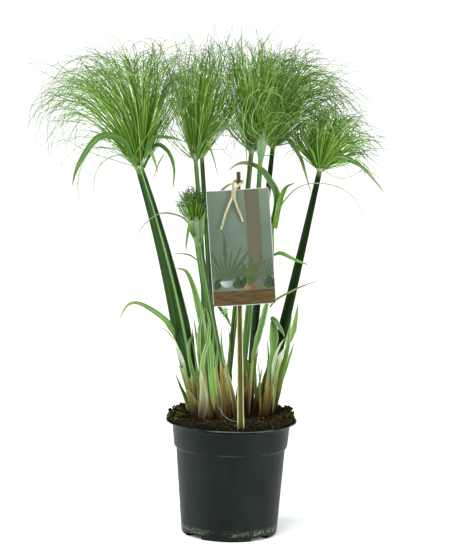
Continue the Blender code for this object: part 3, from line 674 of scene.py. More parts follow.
skin_finish, tree, shader = new_material("stem_skin", 0.44, specular_ior_level=0.05)
grain = read_mark(tree, "grain", "Vector")
pale = read_mark(tree, "pale")
along = read_mark(tree, "along")
ribs = streaked(tree, grain, 0.0011, 60.0, 1.1)
bands = streaked(tree, grain, 0.0042, 30.0, 1.0)
deep_green = mix_colour(tree, ribs, (0.0030, 0.014, 0.0010, 1), (0.010, 0.036, 0.0030, 1))
deep_green = tint(tree, deep_green, (0.026, 0.085, 0.008, 1), bands, 0.0, 0.45, 0.5, 1.0)
deep_green = tint(tree, deep_green, (0.0018, 0.0085, 0.0006, 1), pale, 0.85, 0.0, -0.5, 0.0)
light_green = mix_colour(tree, ribs, (0.024, 0.070, 0.010, 1), (0.095, 0.190, 0.045, 1))
light_green = tint(tree, light_green, (0.240, 0.370, 0.150, 1), bands, 0.0, 0.75, 0.45, 0.95)
colour = mix_colour(tree, pale, deep_green, light_green)
# Painted highlight: a pale stripe laid into the stem's colour where a lamp's gleam runs down it.
painted_highlight = read_mark(tree, "painted_highlight")
stem_highlight_share = times(tree, painted_highlight, grey_ramp(tree, bands, 0.60, 1.0))
colour = mix_colour(tree, times(tree, stem_highlight_share, 0.75), colour, (0.250, 0.420, 0.190, 1))
colour = tint(tree, colour, (0.110, 0.105, 0.025, 1), along, 0.85, 0.0, 0.0, 0.16)
colour = tint(tree, colour, (0.20, 0.30, 0.10, 1), along, 0.0, 0.7, 0.965, 1.0)
paint(tree, shader, colour)
tree.links.new(grey_ramp(tree, bands, 0.26, 0.44), shader.inputs["Roughness"])
raise_surface(tree, shader, ribs, 0.00016, 0.6)

for name, (foot, *_, paleness) in STEMS.items():
    steps = np.concatenate([[-STEM_BURIED], np.linspace(0, 1, STEM_STEPS)])
    turns = np.linspace(0, math.tau, STEM_SIDES, endpoint=False)
    rings = stem_point(name, steps[:, None], turns[None, :])
    points, faces = skin(rings)
    level = np.repeat(steps, STEM_SIDES)
    wrap = np.abs(np.tile(turns, len(steps)) - math.pi) * stem_radius(name, level)
    # Each stem cuts the grain at a depth of its own, so that no two are streaked alike.
    own_depth = np.full(len(level), len(points) * 0.001 + foot[0])
    # The painted highlight's pale stripe, narrow and soft-edged, at its place round the stem.
    highlight_turn, highlight_strength = HIGHLIGHT_STRIPES[name]
    painted_highlight = np.exp(-(((turns - math.radians(highlight_turn)) / HIGHLIGHT_WIDTH) ** 4)) * highlight_strength
    marks = {
        "grain": np.stack([wrap, level * stem_length(name), own_depth], 1),
        "pale": np.full(len(level), paleness),
        "along": np.clip(level, 0, 1),
        "painted_highlight": np.tile(painted_highlight, len(steps)),
    }
    add_piece("stem_" + name, points, faces, skin_finish, ["culm_" + name], marks)

# ---------------------------------------------------------------- sheaths at the feet of the stems
# Each stem's foot is wrapped in dry, papery leaf bases: tan and brown at the soil, greener upwards, with
# a slanting mouth drawn out to a torn, cream-edged tip. Older outer layers stand off and split.

# For each layer: stem, height of its low side and of its tip, where the tip stands, how far it stands
# off the stem, how far its tip leans out, how green it is, and how bleached.
SHEATHS = [
    ("a", 40, 58, 190, 0.4, 0.8, 0.85, -0.08),
    ("a", 28, 50, -60, 0.8, 0.6, 0.80, -0.08),
    ("a", 12, 32, 230, 1.3, 1.2, 0.45, -0.06),
    ("b1", 44, 74, -70, 1.3, 1.0, 0.15, 0.35),
    ("b1", 18, 46, 160, 1.8, 2.2, 0.0, 0.20),
    ("b1", 8, 24, -20, 2.5, 1.0, 0.0, 0.0),
    ("b2", 30, 48, 200, 0.9, 1.0, 0.40, 0.0),
    ("c1", 26, 44, 90, 0.9, 1.0, 0.80, 0.0),
    ("c1", 10, 28, -70, 1.9, 1.2, 0.35, 0.0),
    ("c2", 30, 46, 60, 0.9, 0.6, 0.0, 0.0),
    ("c3", 54, 72, -10, 1.0, 1.5, 0.90, 0.0),
    ("c3", 36, 58, 160, 2.0, 1.0, 0.55, -0.1),
    ("c3", 16, 30, 250, 2.9, 1.0, 0.30, -0.1),
    ("d", 62, 84, -20, 0.9, 1.6, 0.85, 0.03),
    ("d", 34, 60, 200, 1.9, 2.0, 0.40, -0.1),
    ("d", 16, 36, -80, 2.8, 1.2, 0.20, 0.0),
    ("e", 40, 60, 200, 1.0, 1.8, 0.40, 0.10),
    ("e", 30, 64, -30, 2.3, 1.6, 0.35, 0.15),
    ("e", 16, 44, 230, 3.3, 1.6, 0.20, 0.0),
    ("e", 8, 26, -90, 4.2, 1.0, 0.0, -0.1),
]
SHEATH_SIDES = 48
SHEATH_STEPS = 22
# In millimetres: a layer's thickness, how deep its mouth is torn, how far it frills, and the height at
# which it gets to the pale end of its colours.
SHEATH_THICKNESS, SHEATH_TEAR, SHEATH_FRILL, SHEATH_PALE = 0.42, 1.6, 0.35, 78


def torn(sides, depth, chance):
    """A ragged rim: how far it stands up or falls back at each of its sides, by depth at most."""
    tears = np.arange(0, sides + 1, 3)
    return np.interp(np.arange(sides), tears, chance.uniform(-depth, depth, len(tears)))


def sheath_layer(name, low, tip, tip_turn, stand_off, lean, chance):
    """Outer and inner faces of one layer, with its mouth torn into small points, and how far up each is."""
    turns = np.linspace(0, math.tau, SHEATH_SIDES, endpoint=False)
    lift = (0.5 + 0.5 * np.cos(turns - math.radians(tip_turn))) ** 3.6
    top = mm(low + (tip - low) * lift + SHEATH_TEAR * torn(SHEATH_SIDES, 1, chance) * (1 - 0.7 * lift))
    share = np.linspace(-0.03, 1, SHEATH_STEPS)[:, None]
    height = share * top
    frill = mm(SHEATH_FRILL) * np.sin(turns * 5 + chance.uniform(0, 6)) * np.clip(share, 0, 1)
    leaning = mm(lean) * np.clip(share - 0.55, 0, 1) ** 2 * lift * 5
    out = mm(stand_off) * (1.15 - 0.45 * share) + leaning + frill
    thick = mm(SHEATH_THICKNESS) * (1.15 - share)
    outer = stem_point(name, height / stem_length(name), turns[None, :], out + thick)
    inner = stem_point(name, height / stem_length(name), turns[None, :], out)
    return outer, inner, np.broadcast_to(share, height.shape), height, turns


def darker_fibres(tree, colour, mask, share):
    """The same colour, darker and browner by share where the mask has a fibre."""
    return mix_colour(tree, times(tree, mask, share), colour,
                      mix_colour(tree, 1.0, colour, (0.42, 0.34, 0.24, 1), "MULTIPLY"))


def both_faces(values):
    """Values of a sheet's outer face, then those of its inner one, whose rings run the other way."""
    return np.concatenate([values, values[::-1]])


husk, tree, shader = new_material("husk", 0.72, specular_ior_level=0.15)
grain = read_mark(tree, "grain", "Vector")
along = read_mark(tree, "along")
green = read_mark(tree, "green")
fibres_mask = streaked(tree, grain, 0.0007, 26.0, 1.3)
broad_mask = streaked(tree, grain, 0.0030, 9.0, 1.2)
shift = times(tree, do_math(tree, "SUBTRACT", broad_mask, 0.5), 0.22)
level = do_math(tree, "ADD", along, shift)
dry = blend_ramp(tree, level, [
    (0.0, (0.016, 0.009, 0.003)), (0.16, (0.075, 0.044, 0.011)), (0.36, (0.205, 0.152, 0.044)),
    (0.60, (0.330, 0.300, 0.105)), (0.85, (0.370, 0.370, 0.160)), (1.0, (0.480, 0.480, 0.320)),
])
fresh = blend_ramp(tree, level, [
    (0.0, (0.016, 0.010, 0.003)), (0.16, (0.066, 0.050, 0.009)), (0.34, (0.132, 0.138, 0.026)),
    (0.60, (0.130, 0.200, 0.036)), (0.82, (0.200, 0.290, 0.090)), (1.0, (0.480, 0.520, 0.360)),
])
colour = mix_colour(tree, green, dry, fresh)
colour = darker_fibres(tree, colour, fibres_mask, 0.8)
hem = read_mark(tree, "hem")
colour = mix_colour(tree, times(tree, hem, 0.80), colour, (0.580, 0.585, 0.410, 1))
paint(tree, shader, colour)
raise_surface(tree, shader, fibres_mask, 0.00022, 0.8)

chance = np.random.default_rng(23)
sheath_parts = {}
for name, low, tip, tip_turn, stand_off, lean, greenness, bleached in SHEATHS:
    outer, inner, share, height, turns = sheath_layer(name, low, tip, tip_turn, stand_off, lean, chance)
    rings = np.concatenate([outer, inner[::-1]])
    points, faces = skin(rings, capped=False)
    count = len(rings) * SHEATH_SIDES
    last = count - SHEATH_SIDES
    for i in range(SHEATH_SIDES):
        after = (i + 1) % SHEATH_SIDES
        faces.append([last + i, last + after, after, i])
    wrap = np.abs(turns - math.pi)[None, :] * stem_radius(name, 0.05) * np.ones_like(height)
    depth = np.full_like(height, low * 0.01)
    grain_marks = np.stack([wrap, height, depth], axis=-1)
    share = np.clip(share, 0, 1)
    # Only the tall layers get up to the pale end of their colours.
    aged = 0.75 * height / mm(SHEATH_PALE) + 0.25 * share**3
    aged = np.clip(aged + bleached * np.minimum(1, height / mm(12)), 0, 1)
    # The two pale edges of the leaf base run down from its mouth, either side of its tip.
    gap = np.abs((turns - math.radians(tip_turn) + math.pi) % math.tau - math.pi)[None, :]
    hem = np.exp(-(((gap - 1.0 + 0.6 * share) / 0.10) ** 2)) * np.clip(aged * 1.6 - 0.5, 0, 1) * 0.8
    marks = {
        "grain": both_faces(grain_marks).reshape(-1, 3),
        "along": both_faces(aged).ravel(),
        "green": np.full(count, greenness),
        "hem": both_faces(hem).ravel(),
    }
    sheath_parts.setdefault(name, []).append((points, faces, marks))
for name, parts in sheath_parts.items():
    points, faces, marks = join(parts)
    add_piece("leaf_base_" + name, points, faces, husk, ["sheath_" + name], marks)

# ---------------------------------------------------------------- cane, card and raffia
# A split bamboo cane pushed into the peat, hollow side to the front, with one joint near the soil. It
# carries a coated card with a plain plant motif, held by a strip of twisted raffia.


def turn_vector(tree, vector, angle, axis):
    """The vector turned round an axis, by an angle in radians."""
    inputs = {"Vector": vector, "Angle": angle}
    return add_node(tree, "ShaderNodeVectorRotate", inputs, rotation_type=axis).outputs[0]


CANE_FOOT = mm((10.0, -61.0, 122.0))
CANE_HEAD = mm((2.0, -52.0, 393.0))
CANE_SIDES = 14
CANE_STEPS = 70
# Heights of its joint and of the bud scar under it, in millimetres above the peat.
CANE_JOINT, CANE_SCAR = 7.5, 5.0
# Its radius and wall at the foot, how much thinner it gets up to its head, and how deep its foot stands in
# the peat, in millimetres.
CANE_RADIUS, CANE_WALL, CANE_TAPER, CANE_BURIED = 3.6, 1.1, 1.4, 2.3
cane_rings = []
cane_hollow = []
for t in np.linspace(0, 1, CANE_STEPS):
    centre = CANE_FOOT + (CANE_HEAD - CANE_FOOT) * t
    rise = (t * (CANE_HEAD - CANE_FOOT)[2]) * 1000 - CANE_BURIED
    radius = CANE_RADIUS - CANE_TAPER * t + 0.12 * math.sin(t * 19) * t
    joint = math.exp(-(((rise - CANE_JOINT) / 1.1) ** 2))
    radius += 0.55 * joint + 0.25 * math.exp(-(((rise - CANE_SCAR) / 1.2) ** 2))
    wall = CANE_WALL * (1 - 0.35 * t) + 0.9 * math.exp(-(((rise - CANE_JOINT) / 0.5) ** 2))
    turns = np.radians(np.linspace(-14, 194, CANE_SIDES))
    ring = [(radius * math.cos(a), radius * math.sin(a), 0) for a in turns]
    inner = [((radius - wall) * math.cos(a), (radius - wall) * math.sin(a), 0) for a in turns[::-1]]
    cane_rings.append(centre + mm(ring + inner))
    cane_hollow.append([0.0] * (CANE_SIDES - 1) + [0.35] * 2 + [1.0] * (CANE_SIDES - 2) + [0.35])
points, faces = skin(np.array(cane_rings))
bamboo, tree, shader = new_material("bamboo", 0.55, specular_ior_level=0.2)
place = object_place(tree)
hollow = read_mark(tree, "hollow")
fibre = streaked(tree, turn_vector(tree, place, math.radians(90), "X_AXIS"), 0.0006, 40.0, 1.2)
height = axes_of(tree, place)[2]
rind = mix_colour(tree, fibre, (0.250, 0.220, 0.080, 1), (0.460, 0.430, 0.190, 1))
# The hollow side is coloured much darker than the rind.
hollow_colour = mix_colour(tree, fibre, (0.050, 0.050, 0.014, 1), (0.140, 0.130, 0.045, 1))
colour = tint(tree, rind, hollow_colour, hollow, 0.0, 1.0, 0.35, 0.8)
colour = tint(tree, colour, (0.055, 0.045, 0.018, 1), height, 0.75, 0.0, 0.126, 0.1325)
colour = tint(tree, colour, (0.075, 0.050, 0.026, 1), height, 0.0, 0.85, 0.374, 0.384)
paint(tree, shader, colour)
raise_surface(tree, shader, fibre, 0.00018, 0.7)
add_piece("split_cane", points, faces, bamboo, ["cane"],
          {"hollow": np.array(cane_hollow).ravel()}, sharp=45)

CARD_CENTRE = mm((6.4, -55.2, 315.0))
CARD_WIDTH, CARD_HEIGHT, CARD_THICKNESS = mm((65.5, 120.5, 0.6))
# The card's height in widths, for its print.
CARD_TALLNESS = 1.84
CARD_ROLL = math.radians(4.9)
CARD_PITCH = math.radians(1.6)
# How far the card's middle stands forward of its edges, and how much its surface waves, in millimetres.
CARD_BOW, CARD_WAVE = 2.2, 0.5


def card_point(u, v, depth):
    """A point of the card: u across and v up, both from 0 to 1, depth towards the front."""
    across, height = CARD_WIDTH * (u - 0.5), CARD_HEIGHT * (v - 0.5)
    bow = mm(CARD_BOW) * (1 - (2 * u - 1) ** 2) + mm(CARD_WAVE) * math.sin(3.1 * v + 2.0 * u)
    out = depth + bow - height * math.sin(CARD_PITCH)
    x = across * math.cos(CARD_ROLL) - height * math.sin(CARD_ROLL)
    z = across * math.sin(CARD_ROLL) + height * math.cos(CARD_ROLL)
    return CARD_CENTRE + np.array((x, -out, z))


# Its faces across and up, and how far its corners are cut in, as a share of its width.
CARD_ACROSS, CARD_UP = 22, 40
CARD_CORNER = 0.012
card_points, card_prints, card_sides = [], [], []
for side, depth in ((1.0, 0.5 * CARD_THICKNESS), (0.0, -0.5 * CARD_THICKNESS)):
    for v in np.linspace(0, 1, CARD_UP + 1):
        inset = CARD_CORNER * (1 - min(1, min(v, 1 - v) * 60)) ** 2
        for u in np.linspace(inset, 1 - inset, CARD_ACROSS + 1):
            card_points.append(card_point(u, v, depth))
            card_prints.append((u, v, 0))
            card_sides.append(side)
half = (CARD_ACROSS + 1) * (CARD_UP + 1)
card_faces = []
for row in range(CARD_UP):
    for column in range(CARD_ACROSS):
        low = row * (CARD_ACROSS + 1) + column
        high = low + CARD_ACROSS + 1
        card_faces.append([low, low + 1, high + 1, high])
        card_faces.append([half + low, half + high, half + high + 1, half + low + 1])
rim = [*range(CARD_ACROSS), *range(CARD_ACROSS, half - 1, CARD_ACROSS + 1),
       *range(half - 1, half - 1 - CARD_ACROSS, -1), *range(half - 1 - CARD_ACROSS, 0, -(CARD_ACROSS + 1))]
card_faces += [[i, j, j + half, i + half] for i, j in zip(rim, [*rim[1:], rim[0]])]

# One printed leaf: a pointed lens at a place, at an angle, with a pale midrib.
leaf_print, leaf_in, leaf_out = new_group(
    "printed_leaf",
    {
        "Print": ("NodeSocketVector", None),
        "Foot": ("NodeSocketVector", None),
        "Angle": ("NodeSocketFloat", 0.0),
        "Length": ("NodeSocketFloat", 0.2),
        "Slimness": ("NodeSocketFloat", 4.0),
    },
    {"Leaf": ("NodeSocketFloat", None), "Midrib": ("NodeSocketFloat", None)},
)
from_foot = vector_math(leaf_print, "SUBTRACT", leaf_in.outputs["Print"], leaf_in.outputs["Foot"])
leaf_axes = axes_of(leaf_print, turn_vector(leaf_print, from_foot, leaf_in.outputs["Angle"], "Z_AXIS"))
run = do_math(leaf_print, "DIVIDE", leaf_axes[1], leaf_in.outputs["Length"])
belly = times(leaf_print, run, do_math(leaf_print, "SUBTRACT", 1.0, run))
girth = times(leaf_print, leaf_in.outputs["Length"], 4.0)
belly = times(leaf_print, belly, do_math(leaf_print, "DIVIDE", girth, leaf_in.outputs["Slimness"]))
off = do_math(leaf_print, "ABSOLUTE", leaf_axes[0])
inside = do_math(leaf_print, "SUBTRACT", belly, off)
leaf_print.links.new(grey_ramp(leaf_print, inside, 0.0, 1.0, 0.0, 0.006), leaf_out.inputs["Leaf"])
leaf_print.links.new(grey_ramp(leaf_print, off, 1.0, 0.0, 0.002, 0.006), leaf_out.inputs["Midrib"])

card_finish, tree, shader = new_material("coated_card", 0.42, specular_ior_level=0.25)
printed = read_mark(tree, "print", "Vector")
tall = vector_math(tree, "MULTIPLY", printed, (1.0, CARD_TALLNESS, 1.0))
front_side = read_mark(tree, "front")
axes = axes_of(tree, printed)
field = blend_ramp(tree, axes[1], [
    (0.0, (0.095, 0.122, 0.098)), (0.30, (0.062, 0.086, 0.062)),
    (0.65, (0.074, 0.100, 0.074)), (1.0, (0.106, 0.134, 0.098)),
])
cloud = add_noise(tree, tall, 3.0, 4.0)
colour = tint(tree, field, (0.108, 0.142, 0.112, 1), cloud, 0.0, 0.35, 0.4, 0.7)
stripe = times(tree, grey_ramp(tree, axes[0], 0.0, 1.0, 0.60, 0.605),
               grey_ramp(tree, axes[0], 1.0, 0.0, 0.83, 0.835))
colour = mix_colour(tree, times(tree, stripe, 0.85), colour, (0.072, 0.060, 0.036, 1))
sun = vector_math(tree, "DISTANCE", tall, (0.30, 1.36, 0.0), "Value")
colour = tint(tree, colour, (0.120, 0.150, 0.130, 1), sun, 0.35, 0.0, 0.150, 0.210)
colour = tint(tree, colour, (0.052, 0.070, 0.050, 1), axes[0], 0.55, 0.0, 0.0, 0.45)
# Foot, angle, length and slimness of the printed leaves, and how dark each is.
PRINTED_LEAVES = [
    ((0.62, 0.30), 18, 0.44, 9, 0.6), ((0.60, 0.30), -6, 0.52, 10, 0.4), ((0.58, 0.30), -26, 0.44, 9, 0.7),
    ((0.64, 0.30), 40, 0.34, 8, 0.5), ((0.56, 0.30), -48, 0.32, 8, 0.6), ((0.45, 0.26), 10, 0.24, 5, 0.9),
    ((0.43, 0.26), 38, 0.18, 4, 0.8), ((0.46, 0.26), -22, 0.22, 5, 1.0), ((0.95, 0.24), 14, 0.24, 4, 0.9),
    ((0.97, 0.24), -18, 0.20, 4, 1.0), ((0.93, 0.24), 46, 0.16, 4, 0.8), ((0.05, 0.25), -24, 0.24, 4, 0.9),
]


def print_leaf(foot, angle, length, slimness):
    """The masks of a printed leaf and of its midrib, at an angle in degrees."""
    inputs = {"Print": tall, "Foot": (*foot, 0), "Angle": -math.radians(angle)}
    return use_group(tree, leaf_print, {**inputs, "Length": length, "Slimness": slimness})


for foot, angle, length, slimness, darkness in PRINTED_LEAVES:
    leaf = print_leaf(foot, angle, length, slimness)
    green_ink = tuple(0.15 * a * (1.15 - darkness) + 0.005 for a in (0.32, 0.60, 0.12))
    ink = mix_colour(tree, times(tree, leaf["Midrib"], 0.35), (*green_ink, 1), (0.085, 0.120, 0.045, 1))
    colour = mix_colour(tree, leaf["Leaf"], colour, ink)
# Fans of thin leaves: foot, reach and how dark, each over a bowl.
for fan_x, fan_y, reach, darkness in ((0.24, 0.40, 0.80, 0.8), (0.80, 0.40, 0.50, 0.8)):
    for k in range(11):
        angle = -66 + 13.2 * k
        length = reach * (0.80 + 0.20 * math.cos(2.6 * k))
        leaf = print_leaf((fan_x, fan_y), angle, length, 26.0)
        fan_ink = tuple(0.075 * a * (1.2 - darkness) + 0.004 for a in (0.36, 0.56, 0.16))
        ink = mix_colour(tree, cloud, (*fan_ink, 1), (0.070, 0.095, 0.040, 1))
        colour = mix_colour(tree, leaf["Leaf"], colour, ink)
# Bowls: middle, radius, and their two colours.
for bowl_x, bowl_y, radius, dark_side, light_side in (
    (0.24, 0.40, 0.105, (0.10, 0.12, 0.12, 1), (0.30, 0.33, 0.32, 1)),
    (0.60, 0.31, 0.080, (0.060, 0.028, 0.012, 1), (0.210, 0.110, 0.055, 1)),
    (0.80, 0.40, 0.090, (0.022, 0.026, 0.024, 1), (0.085, 0.095, 0.090, 1)),
):
    far = vector_math(tree, "DISTANCE", tall, (bowl_x, bowl_y, 0.0), "Value")
    rows = axes_of(tree, tall)
    inside = times(tree, grey_ramp(tree, far, 1.0, 0.0, radius - 0.004, radius + 0.004),
                   grey_ramp(tree, rows[1], 1.0, 0.0, bowl_y - 0.004, bowl_y + 0.004))
    glaze = tint(tree, dark_side, light_side, rows[0], 1.0, 0.0, bowl_x - radius, bowl_x + radius)
    colour = mix_colour(tree, inside, colour, glaze)
wood = streaked(tree, turn_vector(tree, printed, math.radians(90), "Z_AXIS"), 0.022, 12.0, 1.0)
table = mix_colour(tree, wood, (0.024, 0.014, 0.003, 1), (0.080, 0.046, 0.010, 1))
colour = tint(tree, colour, table, axes[1], 1.0, 0.0, 0.128, 0.131)
to_side, to_end = [do_math(tree, "MINIMUM", axis, do_math(tree, "SUBTRACT", 1.0, axis)) for axis in axes[:2]]
edge = do_math(tree, "MINIMUM", to_side, times(tree, to_end, CARD_TALLNESS))
colour = tint(tree, colour, (0.42, 0.45, 0.42, 1), edge, 0.8, 0.0, 0.006, 0.012)
plain_back = mix_colour(tree, add_noise(tree, tall, 40.0), (0.66, 0.67, 0.64, 1), (0.74, 0.75, 0.72, 1))
tree.links.new(mix_colour(tree, front_side, plain_back, colour), shader.inputs["Base Color"])
raise_surface(tree, shader, add_noise(tree, tall, 90.0), 0.00003, 0.4)
add_piece("printed_card", card_points, card_faces, card_finish, ["card"],
          {"print": card_prints, "front": card_sides}, sharp=50)

TIE_POINTS = mm([
    (-15, -58.8, 333), (-9.5, -59.0, 352), (-4.2, -59.0, 367), (-3.4, -58.8, 374), (-3.2, -57.4, 380.5),
    (-2.6, -55.2, 382.2), (-1.9, -49.9, 383.2), (2.3, -47.6, 383.4), (6.4, -50.0, 383.2), (6.4, -55.0, 382.2),
    (2.6, -57.8, 380.0), (-1.0, -59.4, 375), (-1.6, -59.4, 367), (3.0, -59.2, 354), (7.5, -58.8, 342),
])
TIE_STEPS = 150
KNOT_STEPS = 70
# The strands lie this far off the tie's middle line, in millimetres, and twist by so many radians along it.
TIE_SPREAD, TIE_TWIST = 0.6, 34
KNOT_TURNS = 2.6
tie_run = through(TIE_POINTS, TIE_STEPS)
tie_travel = unit(np.gradient(tie_run, axis=0))
tie_side = unit(np.cross(tie_travel, (0.2, 0.3, 1.0)))
tie_other = np.cross(tie_travel, tie_side)
tie_parts = []
for strand in range(3):
    turn = np.linspace(0, TIE_TWIST, TIE_STEPS + 1) + strand * math.tau / 3
    run = tie_run + mm(TIE_SPREAD) * (np.cos(turn)[:, None] * tie_side + np.sin(turn)[:, None] * tie_other)
    points, faces = tubes(run[None], mm(spread_values((0.6, 0.95, 0.8, 0.95, 0.55), TIE_STEPS))[None], 6)
    tie_parts.append((points, faces, {"tone": np.full(len(points), 0.3 + 0.25 * strand)}))
knot_turn = np.linspace(0, KNOT_TURNS * math.tau, KNOT_STEPS)
knot_run = np.stack([mm(-2.5) + mm(1.9) * np.cos(knot_turn), mm(-59.1) + mm(1.5) * np.sin(knot_turn),
                     np.linspace(0.3672, 0.3735, KNOT_STEPS)], axis=1)
points, faces = tubes(knot_run[None], mm(np.full(KNOT_STEPS, 0.75))[None], 6)
tie_parts.append((points, faces, {"tone": np.full(len(points), 0.45)}))
raffia, tree, shader = new_material("raffia", 0.75)
tone = read_mark(tree, "tone")
speckle = add_noise(tree, object_place(tree), 500.0)
colour = blend_ramp(tree, times(tree, do_math(tree, "ADD", tone, speckle), 0.6),
                    [(0.1, (0.10, 0.075, 0.030)), (0.5, (0.27, 0.225, 0.115)), (0.9, (0.46, 0.41, 0.25))])
paint(tree, shader, colour)
raise_surface(tree, shader, speckle, 0.0002, 0.7)
points, faces, marks = join(tie_parts)
add_piece("raffia_tie", points, faces, raffia, ["tie"], marks, face_out=False)

# ---------------------------------------------------------------- leaves, bracts and shoots
# Strap leaves of the clump and the leafy bracts under the heads: soft, keeled blades with fine parallel
# veins, that arch over under their own weight and dry to brown at their tips.

blade_finish, tree, shader = new_material("leaf_blade", 0.46, specular_ior_level=0.15)
grain = read_mark(tree, "grain", "Vector")
along = read_mark(tree, "along")
pale = read_mark(tree, "pale")
dry_tip = read_mark(tree, "dry")
veins = streaked(tree, grain, 0.0006, 70.0, 1.3)
patches = streaked(tree, grain, 0.0040, 8.0, 1.0)
deep = mix_colour(tree, veins, (0.020, 0.066, 0.008, 1), (0.062, 0.150, 0.018, 1))
light = mix_colour(tree, veins, (0.095, 0.230, 0.030, 1), (0.210, 0.370, 0.080, 1))
colour = mix_colour(tree, pale, deep, light)
colour = mix_colour(tree, times(tree, patches, grey_ramp(tree, pale, 0.10, 0.45)), colour,
                    (0.170, 0.270, 0.055, 1))
dryness = do_math(tree, "ADD", times(tree, dry_tip, 0.55),
                  times(tree, do_math(tree, "SUBTRACT", patches, 0.5), 0.2))
browned = grey_ramp(tree, do_math(tree, "ADD", along, dryness), 0.0, 0.9, 0.98, 1.22)
colour = mix_colour(tree, browned, colour, (0.215, 0.150, 0.075, 1))
rim = read_mark(tree, "rim")
colour = mix_colour(tree, rim, colour, (0.560, 0.640, 0.460, 1))
sheathed = read_mark(tree, "sheathed")
low = do_math(tree, "ADD", along, times(tree, do_math(tree, "SUBTRACT", veins, 0.5), 0.10))
foot_tan = blend_ramp(tree, low, [
    (0.0, (0.016, 0.010, 0.003)), (0.08, (0.110, 0.062, 0.015)),
    (0.18, (0.250, 0.215, 0.065)), (0.30, (0.180, 0.240, 0.060)),
])
foot_tan = darker_fibres(tree, foot_tan, veins, 0.7)
foot_share = times(tree, sheathed, grey_ramp(tree, low, 1.0, 0.0, 0.14, 0.34))
colour = mix_colour(tree, foot_share, colour, foot_tan)
paint(tree, shader, colour)
raise_surface(tree, shader, veins, 0.00016, 0.7)

BLADE_STEPS = 44
BLADE_SIDES = 8
# In millimetres: half the width of a blade's tip, half its thickness, and how far its edges wave.
BLADE_TIP, BLADE_THICKNESS, BLADE_WAVE = 0.12, 0.30, 0.3


def blade(name, points, width, facing=(0, -0.8, 0.6), fold=0.16, foot=0.5, pale=0.4, dry=0.4, tail=2.4,
          full=0.3, late=1.0, rim=0.0, keel=0.0, cream=0.0, sheathed=0.0, aged=1.0, finish=blade_finish,
          slot="leaf", replaces=None):
    """A strap leaf through points: thin, keeled, and finely pointed. Points and width are in millimetres.

    facing is the side that its upper face looks to and fold how deeply it is keeled. foot is the share of
    its width at its base, full where it gets to its full width, late how slowly at first, and tail how
    bluntly it ends. pale and dry say how light its green is and how brown its tip. rim is how pale its edges
    are, keel how pale its midrib is, cream how pale all of it is above its foot, sheathed how brown its foot
    is, as a sheath's, and aged how far it gets through the colours of its finish. It stands for the solid of
    its own name, unless replaces says otherwise.
    """
    path = through(mm(points), BLADE_STEPS)
    travel = unit(np.gradient(path, axis=0))
    t = np.linspace(0, 1, BLADE_STEPS + 1)
    across = unit(np.cross(travel, facing))
    out = np.cross(across, travel)
    swell = foot + (1 - foot) * np.minimum(1, t / full) ** late
    half = mm(0.5 * width) * swell * (1 - t**tail) + mm(BLADE_TIP)
    half = half * (1 + 0.04 * np.sin(t * 23 + width))
    thick = mm(BLADE_THICKNESS) * (1 - 0.6 * t)
    places = np.linspace(-1, 1, BLADE_SIDES + 1)
    rise = fold * 2 * (np.abs(places) ** 1.2 - 0.5)
    upper, lower = [], []
    for place, up in zip(places, rise):
        ripple = np.sin(t * 17 + place)
        lap = mm(BLADE_WAVE) * math.copysign(1, place) * ripple * abs(place) * np.sin(math.pi * t)
        centre = path + across * (half * place)[:, None] + out * (half * up + lap)[:, None]
        edge = 1 - 0.75 * abs(place) ** 4
        upper.append(centre + out * (thick * edge)[:, None])
        lower.append(centre - out * (thick * edge)[:, None])
    rings = np.array(upper + lower[::-1]).transpose(1, 0, 2)
    points, faces = skin(rings)
    sides = np.concatenate([places, places[::-1]])
    length = np.concatenate([[0], np.cumsum(np.linalg.norm(np.diff(path, axis=0), axis=1))])
    grain = np.stack([np.outer(np.maximum(half, mm(0.6)), sides), np.outer(length, np.ones_like(sides)),
                      np.full((len(t), len(sides)), width * 0.01)], axis=-1)
    edge_and_midrib = rim * np.abs(sides) ** 3 + keel * np.exp(-((sides / 0.2) ** 2))
    bleached = np.clip(cream + np.tile(edge_and_midrib, len(t)), 0, 1)
    bleached = bleached * np.minimum(1, np.repeat(t, len(sides)) / 0.4) ** 1.5
    marks = {"grain": grain.reshape(-1, 3), "along": aged * np.repeat(t, len(sides))}
    marks.update({"rim": bleached, "hem": bleached})
    for mark, value in (("pale", pale), ("green", pale), ("dry", dry), ("sheathed", sheathed)):
        marks[mark] = np.full(len(points), value)
    add_piece(name + "_blade", points, faces, finish, [name] if replaces is None else replaces, marks)


def trim(name, points, width, **looks):
    """A blade with no solid of its own, which only fills in between those that have one."""
    blade(name, points, width, replaces=(), **looks)


def at_crown(name, turn, below=1.5):
    """A bract's first point, in millimetres: just off the stem, a little below its crown."""
    t = 1 - mm(below) / stem_length(name)
    return tuple(stem_point(name, t, math.radians(turn), 0.0004) * 1000)


blade("bract_a_broad", [at_crown("a", -140), (-116, -30, 419), (-133, -40, 427), (-146, -46, 423),
      (-158, -50, 407), (-166, -52, 390), (-170, -53, 374)], 8.5, foot=0.12, pale=0.08, dry=0.1, keel=0.12)
blade("bract_a_thin", [at_crown("a", -100, 4), (-112, -30, 403), (-127, -43, 406), (-141, -51, 397),
      (-147, -55, 380), (-147, -57, 354)], 1.4, pale=0.2, dry=0.3, cream=0.35)
blade("bract_a_back", [at_crown("a", 160), (-126, 16, 416), (-148, 28, 416), (-164, 31, 392), (-169, 32, 366),
      (-164, 32, 337)], 2.0, pale=0.2, dry=0.3, cream=0.45)
blade("bract_a_right", [at_crown("a", -55), (-88, -32, 423), (-70, -40, 426), (-52, -44, 422)], 5, foot=0.3,
      pale=0.1)
blade("bract_a_down", [at_crown("a", -10, 3), (-86, -22, 416), (-72, -29, 411), (-65, -34, 393),
      (-66, -36, 370)], 5, foot=0.3, pale=0.05, dry=0.2)
